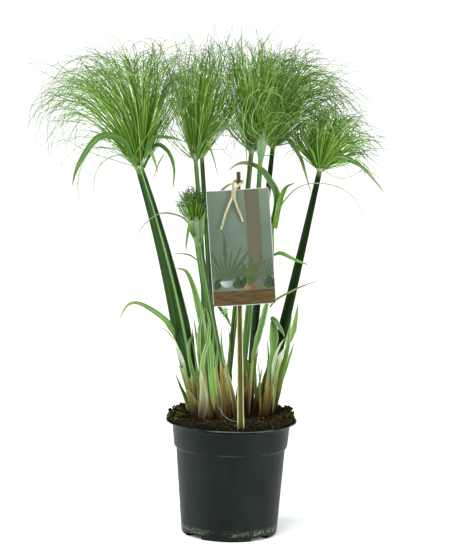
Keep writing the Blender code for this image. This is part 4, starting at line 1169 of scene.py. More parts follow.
blade("bract_b_right", [at_crown("b1", -50), (-32, -28, 424), (-20, -40, 434), (-7, -47, 441), (3, -52, 438),
      (9, -55, 419), (11, -57, 397)], 4.4, foot=0.3, pale=0.05, keel=0.3)
blade("bract_b_down", [at_crown("b1", -120, 4), (-33, -31, 423), (-25, -37, 408), (-19, -38, 386)], 2.6,
      pale=0.5)
blade("bract_c_down", [at_crown("c3", -60), (51, 16, 424), (60, 6, 416), (68, 2, 403), (73, 0, 388),
      (80, -2, 366)], 5, foot=0.3, pale=0.25, dry=0.25, keel=0.4)
blade("bract_d_right", [at_crown("d", -45), (99, -31, 406), (109, -36, 409), (121, -40, 405), (134, -43, 396),
      (156, -46, 371)], 6.6, foot=0.3, pale=0.15, dry=0.15, facing=(0.2, -0.95, 0.3), keel=0.4)
blade("bract_e_long", [(-44.8, -37.4, 326), (-51, -43, 340), (-63, -49, 347), (-79, -53, 348),
      (-94, -56, 337), (-104, -57, 322)], 1.9, pale=0.15, dry=0.8)
blade("bract_e_down", [(-41.5, -40.5, 324), (-47, -47, 335), (-50, -50, 322), (-51, -52, 306)], 3.6,
      pale=0.25)
blade("bract_e_right", [(-31.6, -35.4, 331), (-26, -38, 352), (-18, -42, 368), (-8, -43.5, 378),
      (8, -44, 384)], 4, pale=0.3, dry=0.9)

blade("leaf_bent", [(-58, -15, 206), (-61.5, -17, 216), (-66, -22, 224), (-72, -27, 233), (-86, -31, 244),
      (-101, -33, 251), (-112, -35, 248), (-121, -36, 231)], 7, foot=0.6, pale=0.3, dry=0.5, keel=0.15)
# Height of the feet of the leaves that stand in the peat, in millimetres, and the looks of the upright
# ones, which are brown at their feet.
PEAT_FOOT = 125.5
UPRIGHT = {"facing": (0.2, -1, 0), "sheathed": 1.0, "foot": 0.7, "dry": 0.0}
blade("leaf_hook", [(-26, -19, PEAT_FOOT), (-29, -24, 179), (-31.5, -27, 221), (-37, -29, 248),
      (-43, -30.5, 270), (-51, -32, 286), (-63, -36, 289)], 8.5, facing=(0, -1, 0.2), pale=0.6, rim=0.3,
      foot=0.4, sheathed=1.0)
blade("leaf_clump_left", [(-31, -26, PEAT_FOOT), (-31, -31, 160), (-31.5, -33, 175), (-33.5, -33, 187),
      (-35.5, -33, 199), (-36, -33, 216), (-35, -33.5, 231), (-32, -34.5, 242), (-29.5, -35, 248)], 5.6,
      pale=0.30, rim=0.6, **UPRIGHT)
blade("leaf_clump_right", [(-29, -26, PEAT_FOOT), (-31.5, -32, 160), (-32.5, -35, 177), (-31.7, -35, 188),
      (-30, -35.5, 199), (-26.5, -36, 212), (-24.7, -36, 228), (-26.5, -36.5, 239), (-29.3, -37, 248)], 5.0,
      pale=0.5, rim=0.6, **UPRIGHT)
blade("leaf_arched", [(-30, -24, 128), (-33, -27, 152), (-36, -28, 165), (-41, -28, 176), (-45, -28, 190),
      (-46.5, -28, 204), (-45.8, -28, 211), (-43.6, -28, 215), (-40.4, -28, 215.5)], 4.6, pale=0.12,
      rim=0.35, **UPRIGHT)
blade("leaf_front", [(-13, -15, 126), (-17.5, -21, 142), (-20, -24, 160), (-21.5, -24.5, 173),
      (-22.5, -25, 188), (-23, -26, 203), (-25.5, -28, 224)], 8, tail=3.5, pale=0.75, rim=0.2, **UPRIGHT)
blade("shoot_green_leaf", [(61.2, 14, 206.0), (65, 12.6, 220), (67, 11.6, 232), (69, 10, 248)], 6.5,
      facing=(0, -1, 0.1), pale=1.0, dry=0.1, rim=0.4)
blade("leaf_folded", [(34.5, -7, 126), (36.5, -9, 155), (38, -11, 172), (40, -12, 186), (42, -12.5, 198),
      (43, -13, 210), (42.7, -13, 222), (41.5, -13, 237)], 10, pale=0.30, dry=0.0, tail=14, rim=0.2,
      fold=0.30, facing=(0.2, -1, 0), sheathed=1.2, foot=0.25, full=0.75, late=3.0)
# Small leaves, torn membranes and scraps between the larger ones.
trim("clump_leaf_high", [(-27, -16, PEAT_FOOT), (-27, -18, 140), (-29, -24, 176), (-30.5, -27, 206),
     (-31, -30, 236)], 7, pale=0.25, rim=0.1, **UPRIGHT)
trim("clump_leaf_crossing", [(-23, -17, PEAT_FOOT), (-24, -20, 150), (-24, -26, 180), (-26, -33, 205),
     (-30, -36.5, 228), (-31, -37.5, 246)], 3.4, pale=0.5, rim=0.6, **UPRIGHT)
trim("clump_leaf_slim", [(-9, -9, PEAT_FOOT), (-8, -12, 150), (-7.8, -15, 178), (-9.5, -18, 191),
     (-11.5, -19, 204), (-12.6, -20, 216), (-12.6, -20.5, 227)], 3.4, pale=0.5, rim=0.5, **UPRIGHT)
trim("clump_leaf_dark", [(-5, -2, PEAT_FOOT), (-4, -4, 180), (-3, -5, 205), (-5, -6, 224)], 3, pale=0.1,
     **UPRIGHT)
trim("clump_leaf_browned", [(-31, -18, PEAT_FOOT), (-33, -20, 160), (-35, -22, 190), (-37.5, -26, 208),
     (-40, -28, 225), (-42.2, -28, 238)], 3.6, pale=0.1, dry=1.0, facing=(0.2, -1, 0))
trim("clump_leaf_deep", [(-33, -8, PEAT_FOOT), (-36, -10, 150), (-39, -12, 175), (-41.5, -13, 200),
     (-43, -13, 224)], 6, pale=0.0, dry=0.0, facing=(0.2, -1, 0))
trim("membrane_a", [(-45, -19.5, 160), (-50, -20.5, 179), (-53, -20.5, 188), (-56.3, -20.5, 197),
     (-60, -20, 206), (-63.5, -19, 214)], 6.4, foot=0.1, full=0.5, cream=0.85, tail=1.6, dry=0.0)
# Thin grassy blades that fill the clump: foot, tip, width and how pale, in millimetres.
GRASS = [
    ((-33, -18), (-44, 214), 2.6, 0.2), ((-30, -20), (-38, 228), 2.4, 0.5),
    ((-27, -20), (-33, 252), 2.6, 0.35), ((-25, -19), (-27, 243), 2.2, 0.7),
    ((-22, -20), (-31, 232), 2.4, 0.15), ((-20, -18), (-21, 226), 2.4, 0.5),
    ((-17, -16), (-16, 214), 2.6, 0.3), ((-14, -15), (-21, 207), 2.2, 0.8),
    ((-34, -22), (-40, 196), 2.2, 0.6), ((-24, -22), (-36, 205), 2.2, 0.9),
    ((31, -2), (27, 190), 2.4, 0.2), ((44, 6), (53, 190), 2.4, 0.5),
]
for k, ((x, y), (tip_x, tip_z), width, paleness) in enumerate(GRASS):
    run = [(x + (tip_x - x) * share, y - 11 * share, PEAT_FOOT + (tip_z - PEAT_FOOT) * rise)
           for share, rise in ((0, 0), (0.2, 0.4), (0.55, 0.75), (1, 1))]
    trim("grass_%d" % k, run, width, pale=paleness, rim=0.5, **UPRIGHT)
trim("wisp_a", [(-60, -15, 207), (-68, -15, 217), (-76, -15, 223), (-86, -14, 227)], 1.2, cream=0.7)
trim("cup_scale_left", [(-43, -39, 322), (-46.5, -42, 333), (-49, -43, 343), (-54, -44, 352)], 5, pale=0.5,
     cream=0.2)
trim("cup_scale_right", [(-36, -40, 322), (-34.5, -42.5, 333), (-33.5, -43, 343), (-31, -44, 353)], 5,
     pale=0.4, cream=0.15)
trim("thin_leaf_e", [(-37, -22, 295), (-46, -24, 301), (-56, -25, 303.5), (-66, -25, 302)], 1.6, pale=0.1,
     dry=1.2)
# The looks of dry leaf bases, which have the finish of the sheaths.
DRY_LAYER = {"facing": (0, -1, 0.1), "aged": 0.72, "finish": husk, "slot": "husk"}
trim("husk_wedge_d", [(28, 3, 126), (31, 2, 146), (35, 1, 166), (39, 0, 186)], 9, foot=0.8, pale=0.2,
     **DRY_LAYER)
trim("husk_wedge_b", [(-31.5, -31, PEAT_FOOT), (-29.6, -33, 143), (-30, -34.5, 158), (-32, -35.5, 172),
     (-33.4, -36, 184)], 10, foot=0.8, pale=0.1, cream=0.30, rim=0.35, tail=2.0, **DRY_LAYER)
trim("husk_wedge_low", [(-18, -12, PEAT_FOOT), (-21, -14, 146), (-24, -15, 166), (-26, -16, 186)], 9,
     foot=0.9, pale=0.8, **DRY_LAYER)
trim("husk_wedge_e_left", [(-11.5, -21, PEAT_FOOT), (-13, -22, 147), (-15, -23, 161), (-16.7, -23, 175),
     (-18, -23, 191)], 6, foot=0.8, pale=0.3, cream=0.05, rim=0.5, **DRY_LAYER)
trim("husk_wedge_e_middle", [(-4, -18, PEAT_FOOT), (-5.5, -21, 145), (-8.5, -22, 163), (-11, -22.5, 178),
     (-12.8, -23, 192)], 9, foot=0.9, pale=0.4, **DRY_LAYER)
trim("husk_wedge_e_right", [(5, -15, PEAT_FOOT), (3, -17, 142), (-0.5, -19, 159), (-5, -20, 175),
     (-9.5, -21, 190)], 5.5, foot=0.8, pale=0.7, rim=0.8, **DRY_LAYER)
trim("shoot_g_leaf", [(21, -12, 190), (25, -14, 208), (29, -15, 224), (32.5, -16, 240), (36, -17, 256)], 6.6,
     foot=0.5, tail=9, facing=(0, -1, 0), pale=0.34, rim=0.5, dry=0.0)
trim("hem_c3", [(27.5, 12, PEAT_FOOT), (26, 14, 148), (25.3, 15, 165), (24.2, 16, 182), (22.6, 17, 198)], 3.0,
     foot=0.6, facing=(0, -1, 0), pale=0.9, rim=0.5, dry=0.0, sheathed=0.7)
trim("fold_spike", [(37, -6, PEAT_FOOT), (38.6, -8, 168), (38.2, -9, 190), (37.4, -9.5, 203),
     (36.3, -10, 212.5)], 2.4, pale=0.4, rim=0.4, dry=0.0, sheathed=1.6, facing=(0, -1, 0))
trim("bract_a_short", [(-97, -18, 400), (-93, -21, 411), (-89, -23, 408), (-85, -24, 398), (-82, -24, 387)],
     4.6, pale=0.8, rim=0.4)
trim("bract_a_wisp", [(-76, -27, 408), (-82, -28, 396), (-87, -29, 380)], 1.3, pale=0.1, dry=1.2)
trim("membrane_crown_a", [(-100, -17, 394), (-96, -21, 402), (-92, -24, 411), (-89, -26, 419)], 3.8, foot=0.8,
     cream=0.8)
trim("membrane_d", [(41.5, -5, 160), (42.7, -6.5, 172), (44, -7.5, 184), (46, -8, 195), (50.4, -8.5, 206),
     (55.7, -8.5, 213.5)], 3.6, foot=0.2, cream=0.7, tail=3, pale=0.3, dry=0.0, facing=(0, -1, 0))
trim("fold_flap", [(39.5, -13.5, 235.5), (44.5, -14.5, 233), (49.8, -15, 224.5), (55.3, -15, 215.5)], 4.6,
     pale=0.1, rim=0.5, foot=0.9, tail=4, dry=0.0, facing=(0.3, -1, 0.4))
trim("shoot_leaf_inner", [(55, 16, 180), (59, 13, 206), (60, 12, 222), (63, 11, 235)], 5, pale=0.9, rim=1.0,
     facing=(0, -1, 0.1))
trim("shoot_leaf_outer", [(49, 18, 148), (56, 16, 172), (62, 14, 192), (66, 13, 206)], 4.4, pale=0.9, rim=0.8,
     facing=(0, -1, 0.1))
trim("scrap_dark", [(-18, -10, 248), (-8, -12, 236), (-1, -12, 222)], 4, pale=0.05, dry=0.6)
SCRAPS = [
    [(-14, -14, 238), (-8, -15, 244), (-2, -15, 241)], [(-11, -14, 235), (-8, -15, 243), (-10, -15, 251)],
    [(-6, -14, 236), (-8, -15, 243), (-15, -15, 247)],
]
for k, scrap in enumerate(SCRAPS):
    trim("scrap_%d" % k, scrap, 1.6, pale=1.0, rim=0.5, dry=0.0)
blade("leaf_g_top", [(39.2, -15, 336.0), (43, -15, 355), (42, -15, 369), (34, -15, 383), (26, -17, 393),
      (14, -20, 399), (2, -24, 399), (-10, -28, 391)], 8.0, foot=0.8, facing=(0.3, -0.9, 0.3), pale=0.0,
      dry=0.6, rim=0.2)
blade("leaf_g_right", [(41.5, -16.6, 331), (46, -18, 358), (52, -22, 374), (62, -28, 381)], 6.4, foot=0.8,
      pale=0.6, dry=0.7)
blade("leaf_g_arc", [(39.6, -17.7, 326), (45, -25, 352), (66, -35, 377), (96, -42, 381), (123, -46, 367),
      (140, -48, 329)], 1.4, pale=0.1, dry=0.4, cream=0.25)
blade("leaf_g_low", [(41.7, -16.4, 303), (49, -21, 305), (67, -28, 298), (77, -31, 295)], 5, pale=0.5)
blade("leaf_g_thin", [(38.2, -16.1, 247), (46, -23, 257), (67, -31, 270), (90, -36, 280)], 3, pale=0.4,
      dry=0.9)


SHOOT_STEPS = 40


def shoot(name, points, radii, finish, marks, sides=16, aged=1.0):
    """A round tapering shoot through points, its radius going evenly through radii. aged is how far it gets
    through the colours of its finish."""
    run = through(mm(points), SHOOT_STEPS)[None]
    made, faces = tubes(run, mm(spread_values(radii, SHOOT_STEPS))[None], sides)
    t = np.repeat(np.linspace(0, 1, SHOOT_STEPS + 1), sides)
    length = np.linalg.norm(run[0, -1] - run[0, 0])
    wrap = np.tile(np.abs(np.arange(sides) - sides / 2) * mm(max(radii)) * math.tau / sides, SHOOT_STEPS + 1)
    values = {"grain": np.stack([wrap, t * length, t * 0 + radii[0]], axis=1), "along": t * aged}
    values.update({mark: np.full(len(t), value) for mark, value in marks.items()})
    add_piece(name + "_shoot", made, faces, finish, [name], values)


shoot("spike_left", [(-44.5, 13, 126), (-48.5, 12.5, 141), (-55, 12, 155), (-60.8, 11.5, 169.5)],
      (3.2, 2.6, 1.4, 0.2), blade_finish, {"pale": 0.0, "dry": 0.0, "rim": 0.0, "sheathed": 1.0})
shoot("shoot_brown", [(24, 3, 126), (26, 2, 142), (29, 1, 160), (32, 0, 180)], (3.0, 2.8, 1.4, 0.3), husk,
      {"green": 0.6, "hem": 0.0}, aged=0.6)
shoot("shoot_green", [(43.5, 19.5, 125), (49, 18, 152), (54, 17, 175), (61, 14, 206)], (4.0, 4.4, 3.4, 1.2),
      husk, {"green": 1.0, "hem": 0.0}, aged=0.82)
shoot("shoot_g", [(18, -6, 126), (19.5, -8, 160), (22, -9, 196), (27, -11, 216), (31.5, -13, 236),
      (38, -14.5, 262), (40, -15, 297), (39, -15, 336)], (1.8, 2.0, 1.8, 1.6), blade_finish,
      {"pale": 0.7, "dry": 0.0, "rim": 0.0, "sheathed": 1.0})

# ---------------------------------------------------------------- heads of rays
# Each open head is a mop of a few hundred thread-like rays. A ray leaves the hub nearly straight, forks
# about halfway into a few finer threads, and these arch over and hang from their tips. The rays of a head
# flow along its guides, which fan out from left to right, and are spread from its front to its back.

ray_finish, tree, shader = new_material("ray_skin", 0.50, specular_ior_level=0.14)
along = read_mark(tree, "along")
tone = read_mark(tree, "tone")
colour = blend_ramp(tree, along, [
    (0.0, (0.300, 0.420, 0.100)), (0.07, (0.115, 0.250, 0.012)), (0.35, (0.155, 0.335, 0.018)),
    (0.60, (0.145, 0.290, 0.034)), (0.78, (0.095, 0.168, 0.036)), (0.94, (0.060, 0.082, 0.036)),
])
# Painted light and shade: a darker and a pale copy of the rays' green, laid on by tone, which is partly each
# ray's own and partly its guide's painted light; the pale copy is a painted highlight.
dark_and_shaded = mix_colour(tree, 1.0, colour, (0.22, 0.28, 0.22, 1), "MULTIPLY")
light = mix_colour(tree, 0.50, colour, (0.500, 0.700, 0.290, 1))
colour = tint(tree, colour, dark_and_shaded, tone, 1.0, 0.0, 0.05, 0.50)
# Painted highlight: the pale copy on rays of high tone, fading out towards their tips.
ray_highlight_share = times(tree, grey_ramp(tree, tone, 0.0, 1.0, 0.62, 0.95),
                    grey_ramp(tree, along, 1.0, 0.25, 0.6, 0.88))
colour = mix_colour(tree, ray_highlight_share, colour, light)
fine = add_noise(tree, object_place(tree), 240.0)
colour = mix_colour(tree, times(tree, fine, 0.20), colour, (0.25, 0.42, 0.08, 1))
paint(tree, shader, colour)
raise_surface(tree, shader, fine, 0.0001, 0.4)

# The guides of each head, from left to right. Each has a weight for how many rays follow it, how bright they
# are painted, which is painted light and shade across the head as well as the rays' own lighter and darker
# greens, and the points that it passes after the hub, as X and Z from there in millimetres.
GUIDES_A = [
    (3, 0.1, (-14, 14), (-30, 21), (-51, 19), (-72, 11)),
    (4, 0.2, (-19, 21), (-40, 34), (-59, 30), (-70, 19)),
    (3, 0.1, (-21, 29), (-40, 37), (-72, 40), (-101, 53)),
    (5, 0.4, (-26, 35), (-56, 62), (-83, 68), (-106, 56), (-111, 30)),
    (7, 0.5, (-28, 42), (-61, 74), (-91, 74), (-111, 60), (-114, 35)),
    (9, 0.6, (-25, 48), (-51, 80), (-74, 90), (-91, 84), (-104, 68)),
    (10, 0.6, (-22, 53), (-46, 85), (-67, 98), (-85, 95), (-102, 82)),
    (12, 0.7, (-17, 58), (-35, 88), (-49, 103), (-64, 106), (-78, 99)),
    (14, 0.7, (-13, 60), (-27, 92), (-39, 110), (-52, 120), (-66, 122)),
    (15, 0.7, (-7, 62), (-16, 93), (-25, 112), (-36, 121), (-48, 120)),
    (15, 0.6, (-1, 63), (-5, 96), (-8, 115), (-4, 127), (4, 130)),
    (14, 0.5, (4, 58), (6, 93), (10, 115), (16, 128), (26, 132)),
    (16, 0.4, (10, 53), (18, 88), (27, 111), (38, 126), (52, 130)),
    (13, 0.3, (13, 42), (26, 73), (39, 97), (52, 114), (64, 120)),
    (5, 0.2, (14, 29), (23, 46), (32, 57), (42, 60)),
]
GUIDES_B = [
    (4, 0.5, (-12, 17), (-25, 37), (-38, 46), (-48, 40)),
    (12, 0.6, (-12, 33), (-23, 64), (-35, 88), (-47, 104)),
    (12, 0.7, (-7, 39), (-13, 75), (-20, 102), (-30, 120)),
    (13, 0.8, (-3, 44), (-6, 81), (-9, 107), (-15, 125)),
    (14, 0.8, (1, 48), (2, 86), (4, 112), (3, 132)),
    (13, 0.7, (5, 48), (10, 85), (13, 111), (17, 134)),
    (12, 0.7, (9, 41), (18, 75), (24, 102), (29, 122)),
    (12, 0.6, (13, 37), (26, 66), (38, 92), (48, 112)),
    (6, 0.4, (12, 27), (25, 40), (39, 46), (50, 40)),
]
GUIDES_C = [
    (9, 0.0, (-10, 14), (-20, 27), (-31, 33), (-43, 30)),
    (10, 0.1, (-9, 24), (-19, 42), (-31, 47), (-43, 41)),
    (15, 0.5, (-9, 38), (-20, 70), (-29, 96), (-38, 114)),
    (14, 0.6, (-6, 45), (-13, 80), (-18, 103), (-25, 119)),
    (16, 0.7, (-2, 50), (-5, 84), (-8, 106), (-9, 122)),
    (16, 0.6, (2, 50), (4, 84), (7, 106), (13, 123)),
    (14, 0.6, (6, 46), (13, 79), (20, 101), (29, 115)),
    (10, 0.5, (9, 38), (20, 66), (30, 88), (41, 103)),
    (9, 0.1, (12, 26), (24, 42), (36, 50), (48, 48)),
    (8, 0.0, (9, 12), (18, 22), (27, 28), (36, 26)),
]
GUIDES_C_RIGHT = [
    (5, 0.1, (-11, 19), (-21, 33), (-31, 39), (-41, 36)),
    (9, 0.5, (-8, 30), (-16, 61), (-21, 86), (-28, 101)),
    (13, 0.7, (-2, 35), (-4, 67), (-4, 90), (-10, 106)),
    (14, 0.7, (4, 35), (8, 67), (15, 88), (26, 101)),
    (14, 0.8, (8, 34), (18, 64), (33, 84), (54, 91)),
    (13, 0.8, (12, 32), (27, 58), (46, 73), (68, 76), (89, 63)),
    (11, 0.7, (14, 28), (31, 50), (53, 62), (78, 58), (99, 34)),
    (9, 0.5, (15, 23), (33, 40), (51, 48), (70, 43), (86, 28)),
    (6, 0.3, (15, 15), (30, 27), (45, 31), (60, 25)),
    (4, 0.2, (12, 7), (23, 13), (34, 13), (43, 5)),
]
GUIDES_D = [
    (11, -0.4, (-12, 17), (-21, 29), (-28, 38), (-34, 44)),
    (12, -0.4, (-9, 21), (-16, 37), (-20, 50), (-24, 59)),
    (13, -0.2, (-4, 26), (-6, 42), (-7, 56), (-7, 67)),
    (13, 0.4, (3, 26), (5, 48), (7, 62), (11, 71)),
    (14, 0.9, (8, 23), (16, 42), (24, 56), (34, 67)),
    (13, 1.0, (12, 19), (24, 34), (37, 42), (50, 47)),
    (6, 0.7, (14, 16), (30, 30), (49, 36), (70, 31)),
    (5, 0.5, (14, 13), (30, 22), (46, 26), (63, 22)),
    (4, 0.4, (12, 8), (26, 17), (42, 20), (61, 14)),
]
GUIDES_E = [
    (9, 0.1, (-5, 7), (-12, 16), (-20, 23)),
    (11, 0.0, (-4, 12), (-9, 22), (-14, 31)),
    (12, 0.1, (-2, 14), (-3, 25), (-4, 35)),
    (12, 0.0, (1, 14), (4, 24), (7, 33)),
    (11, 0.1, (4, 11), (9, 20), (14, 28)),
    (9, 0.3, (5, 7), (12, 14), (19, 19)),
]
GUIDE_STEPS = 24
RAY_STEPS = 9
THREAD_STEPS = 13
# How a ray differs from its guide, and a thread from its ray, in millimetres: how far it drifts off up to
# its tip, bows out half-way, bends aside, ripples and sways.
DRIFT, BOW, BEND, RIPPLE, SWAY = 4.6, 4.0, 5.5, 0.9, 6
# Some rays and threads are strays: the share of them, and how much looser they are.
STRAY_RAYS, STRAY_THREADS = (0.22, 2.3), (0.10, 2.5)


def along_guides(guides, place, t):
    """X and Z, from the hub, of rays at place among the guides, as far along them as each t says."""
    i = np.clip(place.astype(int), 0, len(guides) - 2)[:, None]
    j = np.clip((t * GUIDE_STEPS).astype(int), 0, GUIDE_STEPS - 1)
    between, past = (place[:, None] - i)[..., None], (t * GUIDE_STEPS - j)[..., None]
    left = guides[i, j] * (1 - past) + guides[i, j + 1] * past
    right = guides[i + 1, j] * (1 - past) + guides[i + 1, j + 1] * past
    return left * (1 - between) + right * between


def spray(guides, place, side, t, depth):
    """Points of rays at place among the guides. side goes from -1 at the head's front to 1 at its back."""
    flat = along_guides(guides, place, t)
    side = side[:, None]
    out = side * np.where(side < 0, depth[0], depth[1]) * (0.85 * t + 0.15 * t**3)
    # Towards the front and back a head is lower, and its rays hang further down.
    up = flat[..., 1] * (1 - 0.30 * side**2) - 0.008 * side**2 * t**3
    return np.stack([flat[..., 0] * (1 - 0.15 * side**2), out, up], axis=-1)


def head(name, hub, guide_rows, depth, rays, seed, replaces, thick=1.0, fine=1.0, forks=(1, 3), fork=0.5,
         loose=1.0, slim=3.0, taller=1.0):
    """A mop head on hub, in millimetres, that reaches as far to its front and back as depth says.

    thick and fine scale the radii of its rays and threads. fork is where a ray parts into threads, as a share
    of its length, forks how many they are, from the first up to but not with the second, and loose how
    untidy they run. slim is the hub's radius in millimetres, and taller scales the heights of the guides.
    """
    chance = np.random.default_rng(seed)
    weights = np.array([row[0] for row in guide_rows], float)
    glow = np.array([row[1] for row in guide_rows])
    guides = np.array([through(mm([(0, 0), *row[2:]]), GUIDE_STEPS) for row in guide_rows]) * (1, taller)
    last = len(guide_rows) - 1
    place = chance.choice(last + 1, rays, p=weights / weights.sum()) + chance.uniform(-0.55, 0.55, rays)
    place = np.clip(place, -0.25, last + 0.25)
    side = np.clip(chance.uniform(-1, 1, rays) * 0.85 + chance.normal(size=rays) * 0.12, -1, 1)
    depth = mm(depth)
    end = 1 - 0.24 * chance.random(rays) ** 1.6
    part = np.clip(chance.normal(fork, 0.08, rays), 0.3, 0.85) * end
    stray = np.where(chance.random((rays, 1, 1)) < STRAY_RAYS[0], STRAY_RAYS[1], 1.0) * loose
    drift = chance.normal(size=(rays, 1, 3)) * mm(DRIFT) * stray
    bow = chance.normal(size=(rays, 1, 3)) * mm(BOW) * stray
    off = np.stack([place / last * 2 - 1, side, np.zeros(rays)], axis=1)[:, None] * mm(slim)

    def ray_points(t):
        spread = spray(guides, place, side, t, depth)
        return spread + off * (1 - t[..., None]) + drift * t[..., None] + bow * np.sin(math.pi * t)[..., None]

    t = part[:, None] * np.linspace(0, 1, RAY_STEPS)
    radii = mm(thick) * np.linspace(0.56, 0.46, RAY_STEPS)
    points, faces = tubes(mm(hub) + ray_points(t), radii * chance.uniform(0.7, 1.25, (rays, 1)))
    # Painted light and shade: each ray's tone takes its guide's painted brightness, plus a random tone of its
    # own.
    painted_light_level = glow[np.clip(np.rint(place).astype(int), 0, last)]
    tone = np.clip(0.20 + 0.50 * painted_light_level + chance.normal(size=rays) * 0.25, 0, 1)
    ray_tone = np.repeat(tone, RAY_STEPS * TUBE_SIDES)
    parts = [(points, faces, {"along": np.repeat(t, TUBE_SIDES), "tone": ray_tone})]

    owner = np.repeat(np.arange(rays), chance.integers(forks[0], forks[1], rays))
    count = len(owner)
    q = np.linspace(0, 1, THREAD_STEPS)[None]
    start = part[owner][:, None]
    stop = np.clip(end[owner] * chance.uniform(0.86, 1.04, count), 0, 1)[:, None]
    t = np.minimum(start + np.maximum(stop - start, 0.12) * q, 1.0)
    wild = np.where(chance.random(count) < STRAY_THREADS[0], STRAY_THREADS[1], 1.0) * loose
    own_place = np.clip(place[owner] + chance.normal(size=count) * 0.55 * wild, -0.4, last + 0.4)
    own_side = np.clip(side[owner] + chance.normal(size=count) * 0.19 * wild, -1, 1)
    trunk = spray(guides, place[owner], side[owner], t, depth)
    own = spray(guides, own_place, own_side, t, depth)
    blend = (q * q * (3 - 2 * q))[..., None]
    threads = trunk * (1 - blend) + own * blend
    threads += off[owner] * (1 - t[..., None]) + drift[owner] * t[..., None]
    threads += bow[owner] * np.sin(math.pi * t)[..., None]
    bend = chance.normal(size=(count, 1, 3)) * mm(BEND) * wild[:, None, None]
    threads += bend * (q**1.6)[..., None]
    ripple = np.sin(q * chance.uniform(3, 9, (count, 1)) + chance.uniform(0, 6, (count, 1)))
    threads += chance.normal(size=(count, 1, 3)) * mm(RIPPLE) * loose * (ripple * q)[..., None]
    threads[..., :2] += chance.normal(size=(count, 1, 2)) * mm(SWAY) * loose * (q**2.4)[..., None]
    threads[..., 2] -= mm(chance.uniform(-2, 17, (count, 1))) * loose * q**2.8
    thin = mm(fine) * np.linspace(0.43, 0.15, THREAD_STEPS) * chance.uniform(0.7, 1.2, (count, 1))
    points, faces = tubes(mm(hub) + threads, thin)
    tone = np.clip(0.8 * tone[owner] + 0.10 + chance.normal(size=count) * 0.27, 0, 1)
    thread_tone = np.repeat(tone, THREAD_STEPS * TUBE_SIDES)
    parts.append((points, faces, {"along": np.repeat(t, TUBE_SIDES), "tone": thread_tone}))
    points, faces, marks = join(parts)
    # Tips that reach out of the box of the solids are drawn back most of the way to it.
    points -= 0.8 * (points - np.clip(points, *cad_box))
    add_piece(name + "_mop", points, faces, ray_finish, replaces, marks, face_out=False)


# The open heads, each on its stem's crown: guides, reach to front and back, number of rays, seed and looks.
OPEN_HEADS = {
    "a": (GUIDES_A, (80, 84), 390, 3, {"thick": 0.85, "fork": 0.43, "slim": 4.0, "loose": 1.3}),
    "b1": (GUIDES_B, (80, 56), 160, 6, {"thick": 0.85, "fork": 0.43, "taller": 1.08, "loose": 1.3}),
    "b2": (GUIDES_B, (56, 62), 130, 8, {"thick": 0.85, "fork": 0.43, "taller": 1.06, "loose": 1.3}),
    "c1": (GUIDES_C, (86, 60), 240, 9, {"thick": 0.9, "fork": 0.45, "taller": 1.10, "loose": 1.25}),
    "c3": (GUIDES_C_RIGHT, (70, 62), 330, 11, {"fine": 1.15, "taller": 1.11, "loose": 1.15}),
    "d": (GUIDES_D, (60, 60), 280, 13, {"fine": 1.2, "fork": 0.56, "loose": 0.9, "taller": 1.04}),
}
for stem, (guides, depth, rays, seed, looks) in OPEN_HEADS.items():
    head("umbel_" + stem, STEMS[stem][1], guides, depth, rays, seed, ["umbel_" + stem], **looks)

# Loose threads that curl in front of the heads, in millimetres.
CURLS = [
    [(39, 30, 418), (14, -35, 438), (4, -68, 454), (5, -74, 476), (12, -74, 489), (22, -74, 495),
     (33, -74, 492), (43, -72, 486)],
    [(39, 30, 418), (17, -30, 432), (5, -66, 445), (4, -74, 460), (7, -76, 473), (14, -76, 482),
     (24, -76, 485), (32, -74, 481)],
    [(16, -4, 416), (17, -40, 436), (11, -68, 452), (9, -76, 467), (13, -78, 477), (21, -78, 483)],
    [(16, -4, 416), (8, -40, 440), (0, -66, 455), (-7, -72, 451), (-13, -74, 442), (-16, -74, 432)],
    [(39, 26, 420), (46, -25, 436), (51, -60, 446), (60, -68, 456), (70, -72, 460), (79, -72, 456),
     (83, -72, 447)],
    [(39, 26, 419), (42, -25, 430), (48, -60, 439), (58, -68, 447), (68, -72, 449), (75, -72, 442)],
    [(16, -4, 414), (24, -40, 430), (20, -68, 447), (23, -76, 460), (31, -78, 467), (39, -78, 463),
     (43, -76, 452)],
    [(39, 26, 418), (32, -25, 428), (36, -60, 442), (46, -70, 450), (54, -74, 446), (57, -74, 436)],
    [(16, -4, 416), (4, -44, 436), (-2, -68, 450), (-2, -76, 465), (3, -78, 478), (12, -78, 486)],
    [(39, 26, 418), (26, -20, 434), (16, -56, 448), (18, -70, 460), (27, -76, 462), (33, -76, 452),
     (32, -76, 442)],
    [(16, -4, 414), (2, -36, 428), (-10, -60, 440), (-21, -68, 440), (-28, -70, 431)],
    [(39, 26, 418), (54, -16, 438), (66, -44, 450), (78, -56, 450), (86, -60, 440)],
    [(-95, -17, 406), (-98, -30, 422), (-104, -42, 437), (-112, -50, 452), (-122, -54, 460)],
    [(-107, -19, 406), (-101, -32, 424), (-93, -44, 441), (-86, -52, 452), (-76, -56, 456)],
    [(-101, -18, 402), (-105, -32, 420), (-110, -42, 436), (-118, -48, 446), (-126, -52, 445)],
    [(-43, -9, 405), (-38, -34, 424), (-33, -56, 444), (-35, -66, 460), (-43, -70, 466)],
    [(-41, -9, 406), (-46, -34, 424), (-50, -52, 440), (-56, -60, 450), (-64, -64, 450)],
    [(86, -24, 398), (78, -44, 420), (82, -56, 436), (94, -62, 440)],
    [(89, -24, 398), (94, -42, 418), (92, -56, 436), (84, -64, 444), (75, -66, 441)],
]
CURL_STEPS = 30
CURL_SIDES = 5
chance = np.random.default_rng(17)
curl_runs = []
for curl in [*CURLS, *CURLS[:9]]:
    loosened = np.array(curl) + chance.normal(size=(len(curl), 3)) * (1.6, 3, 1.6)
    loosened = loosened + chance.normal(size=3) * (10, 2, 7)
    curl_runs.append(through(mm([curl[0], *loosened[1:]]), CURL_STEPS))
curl_count = len(curl_runs)
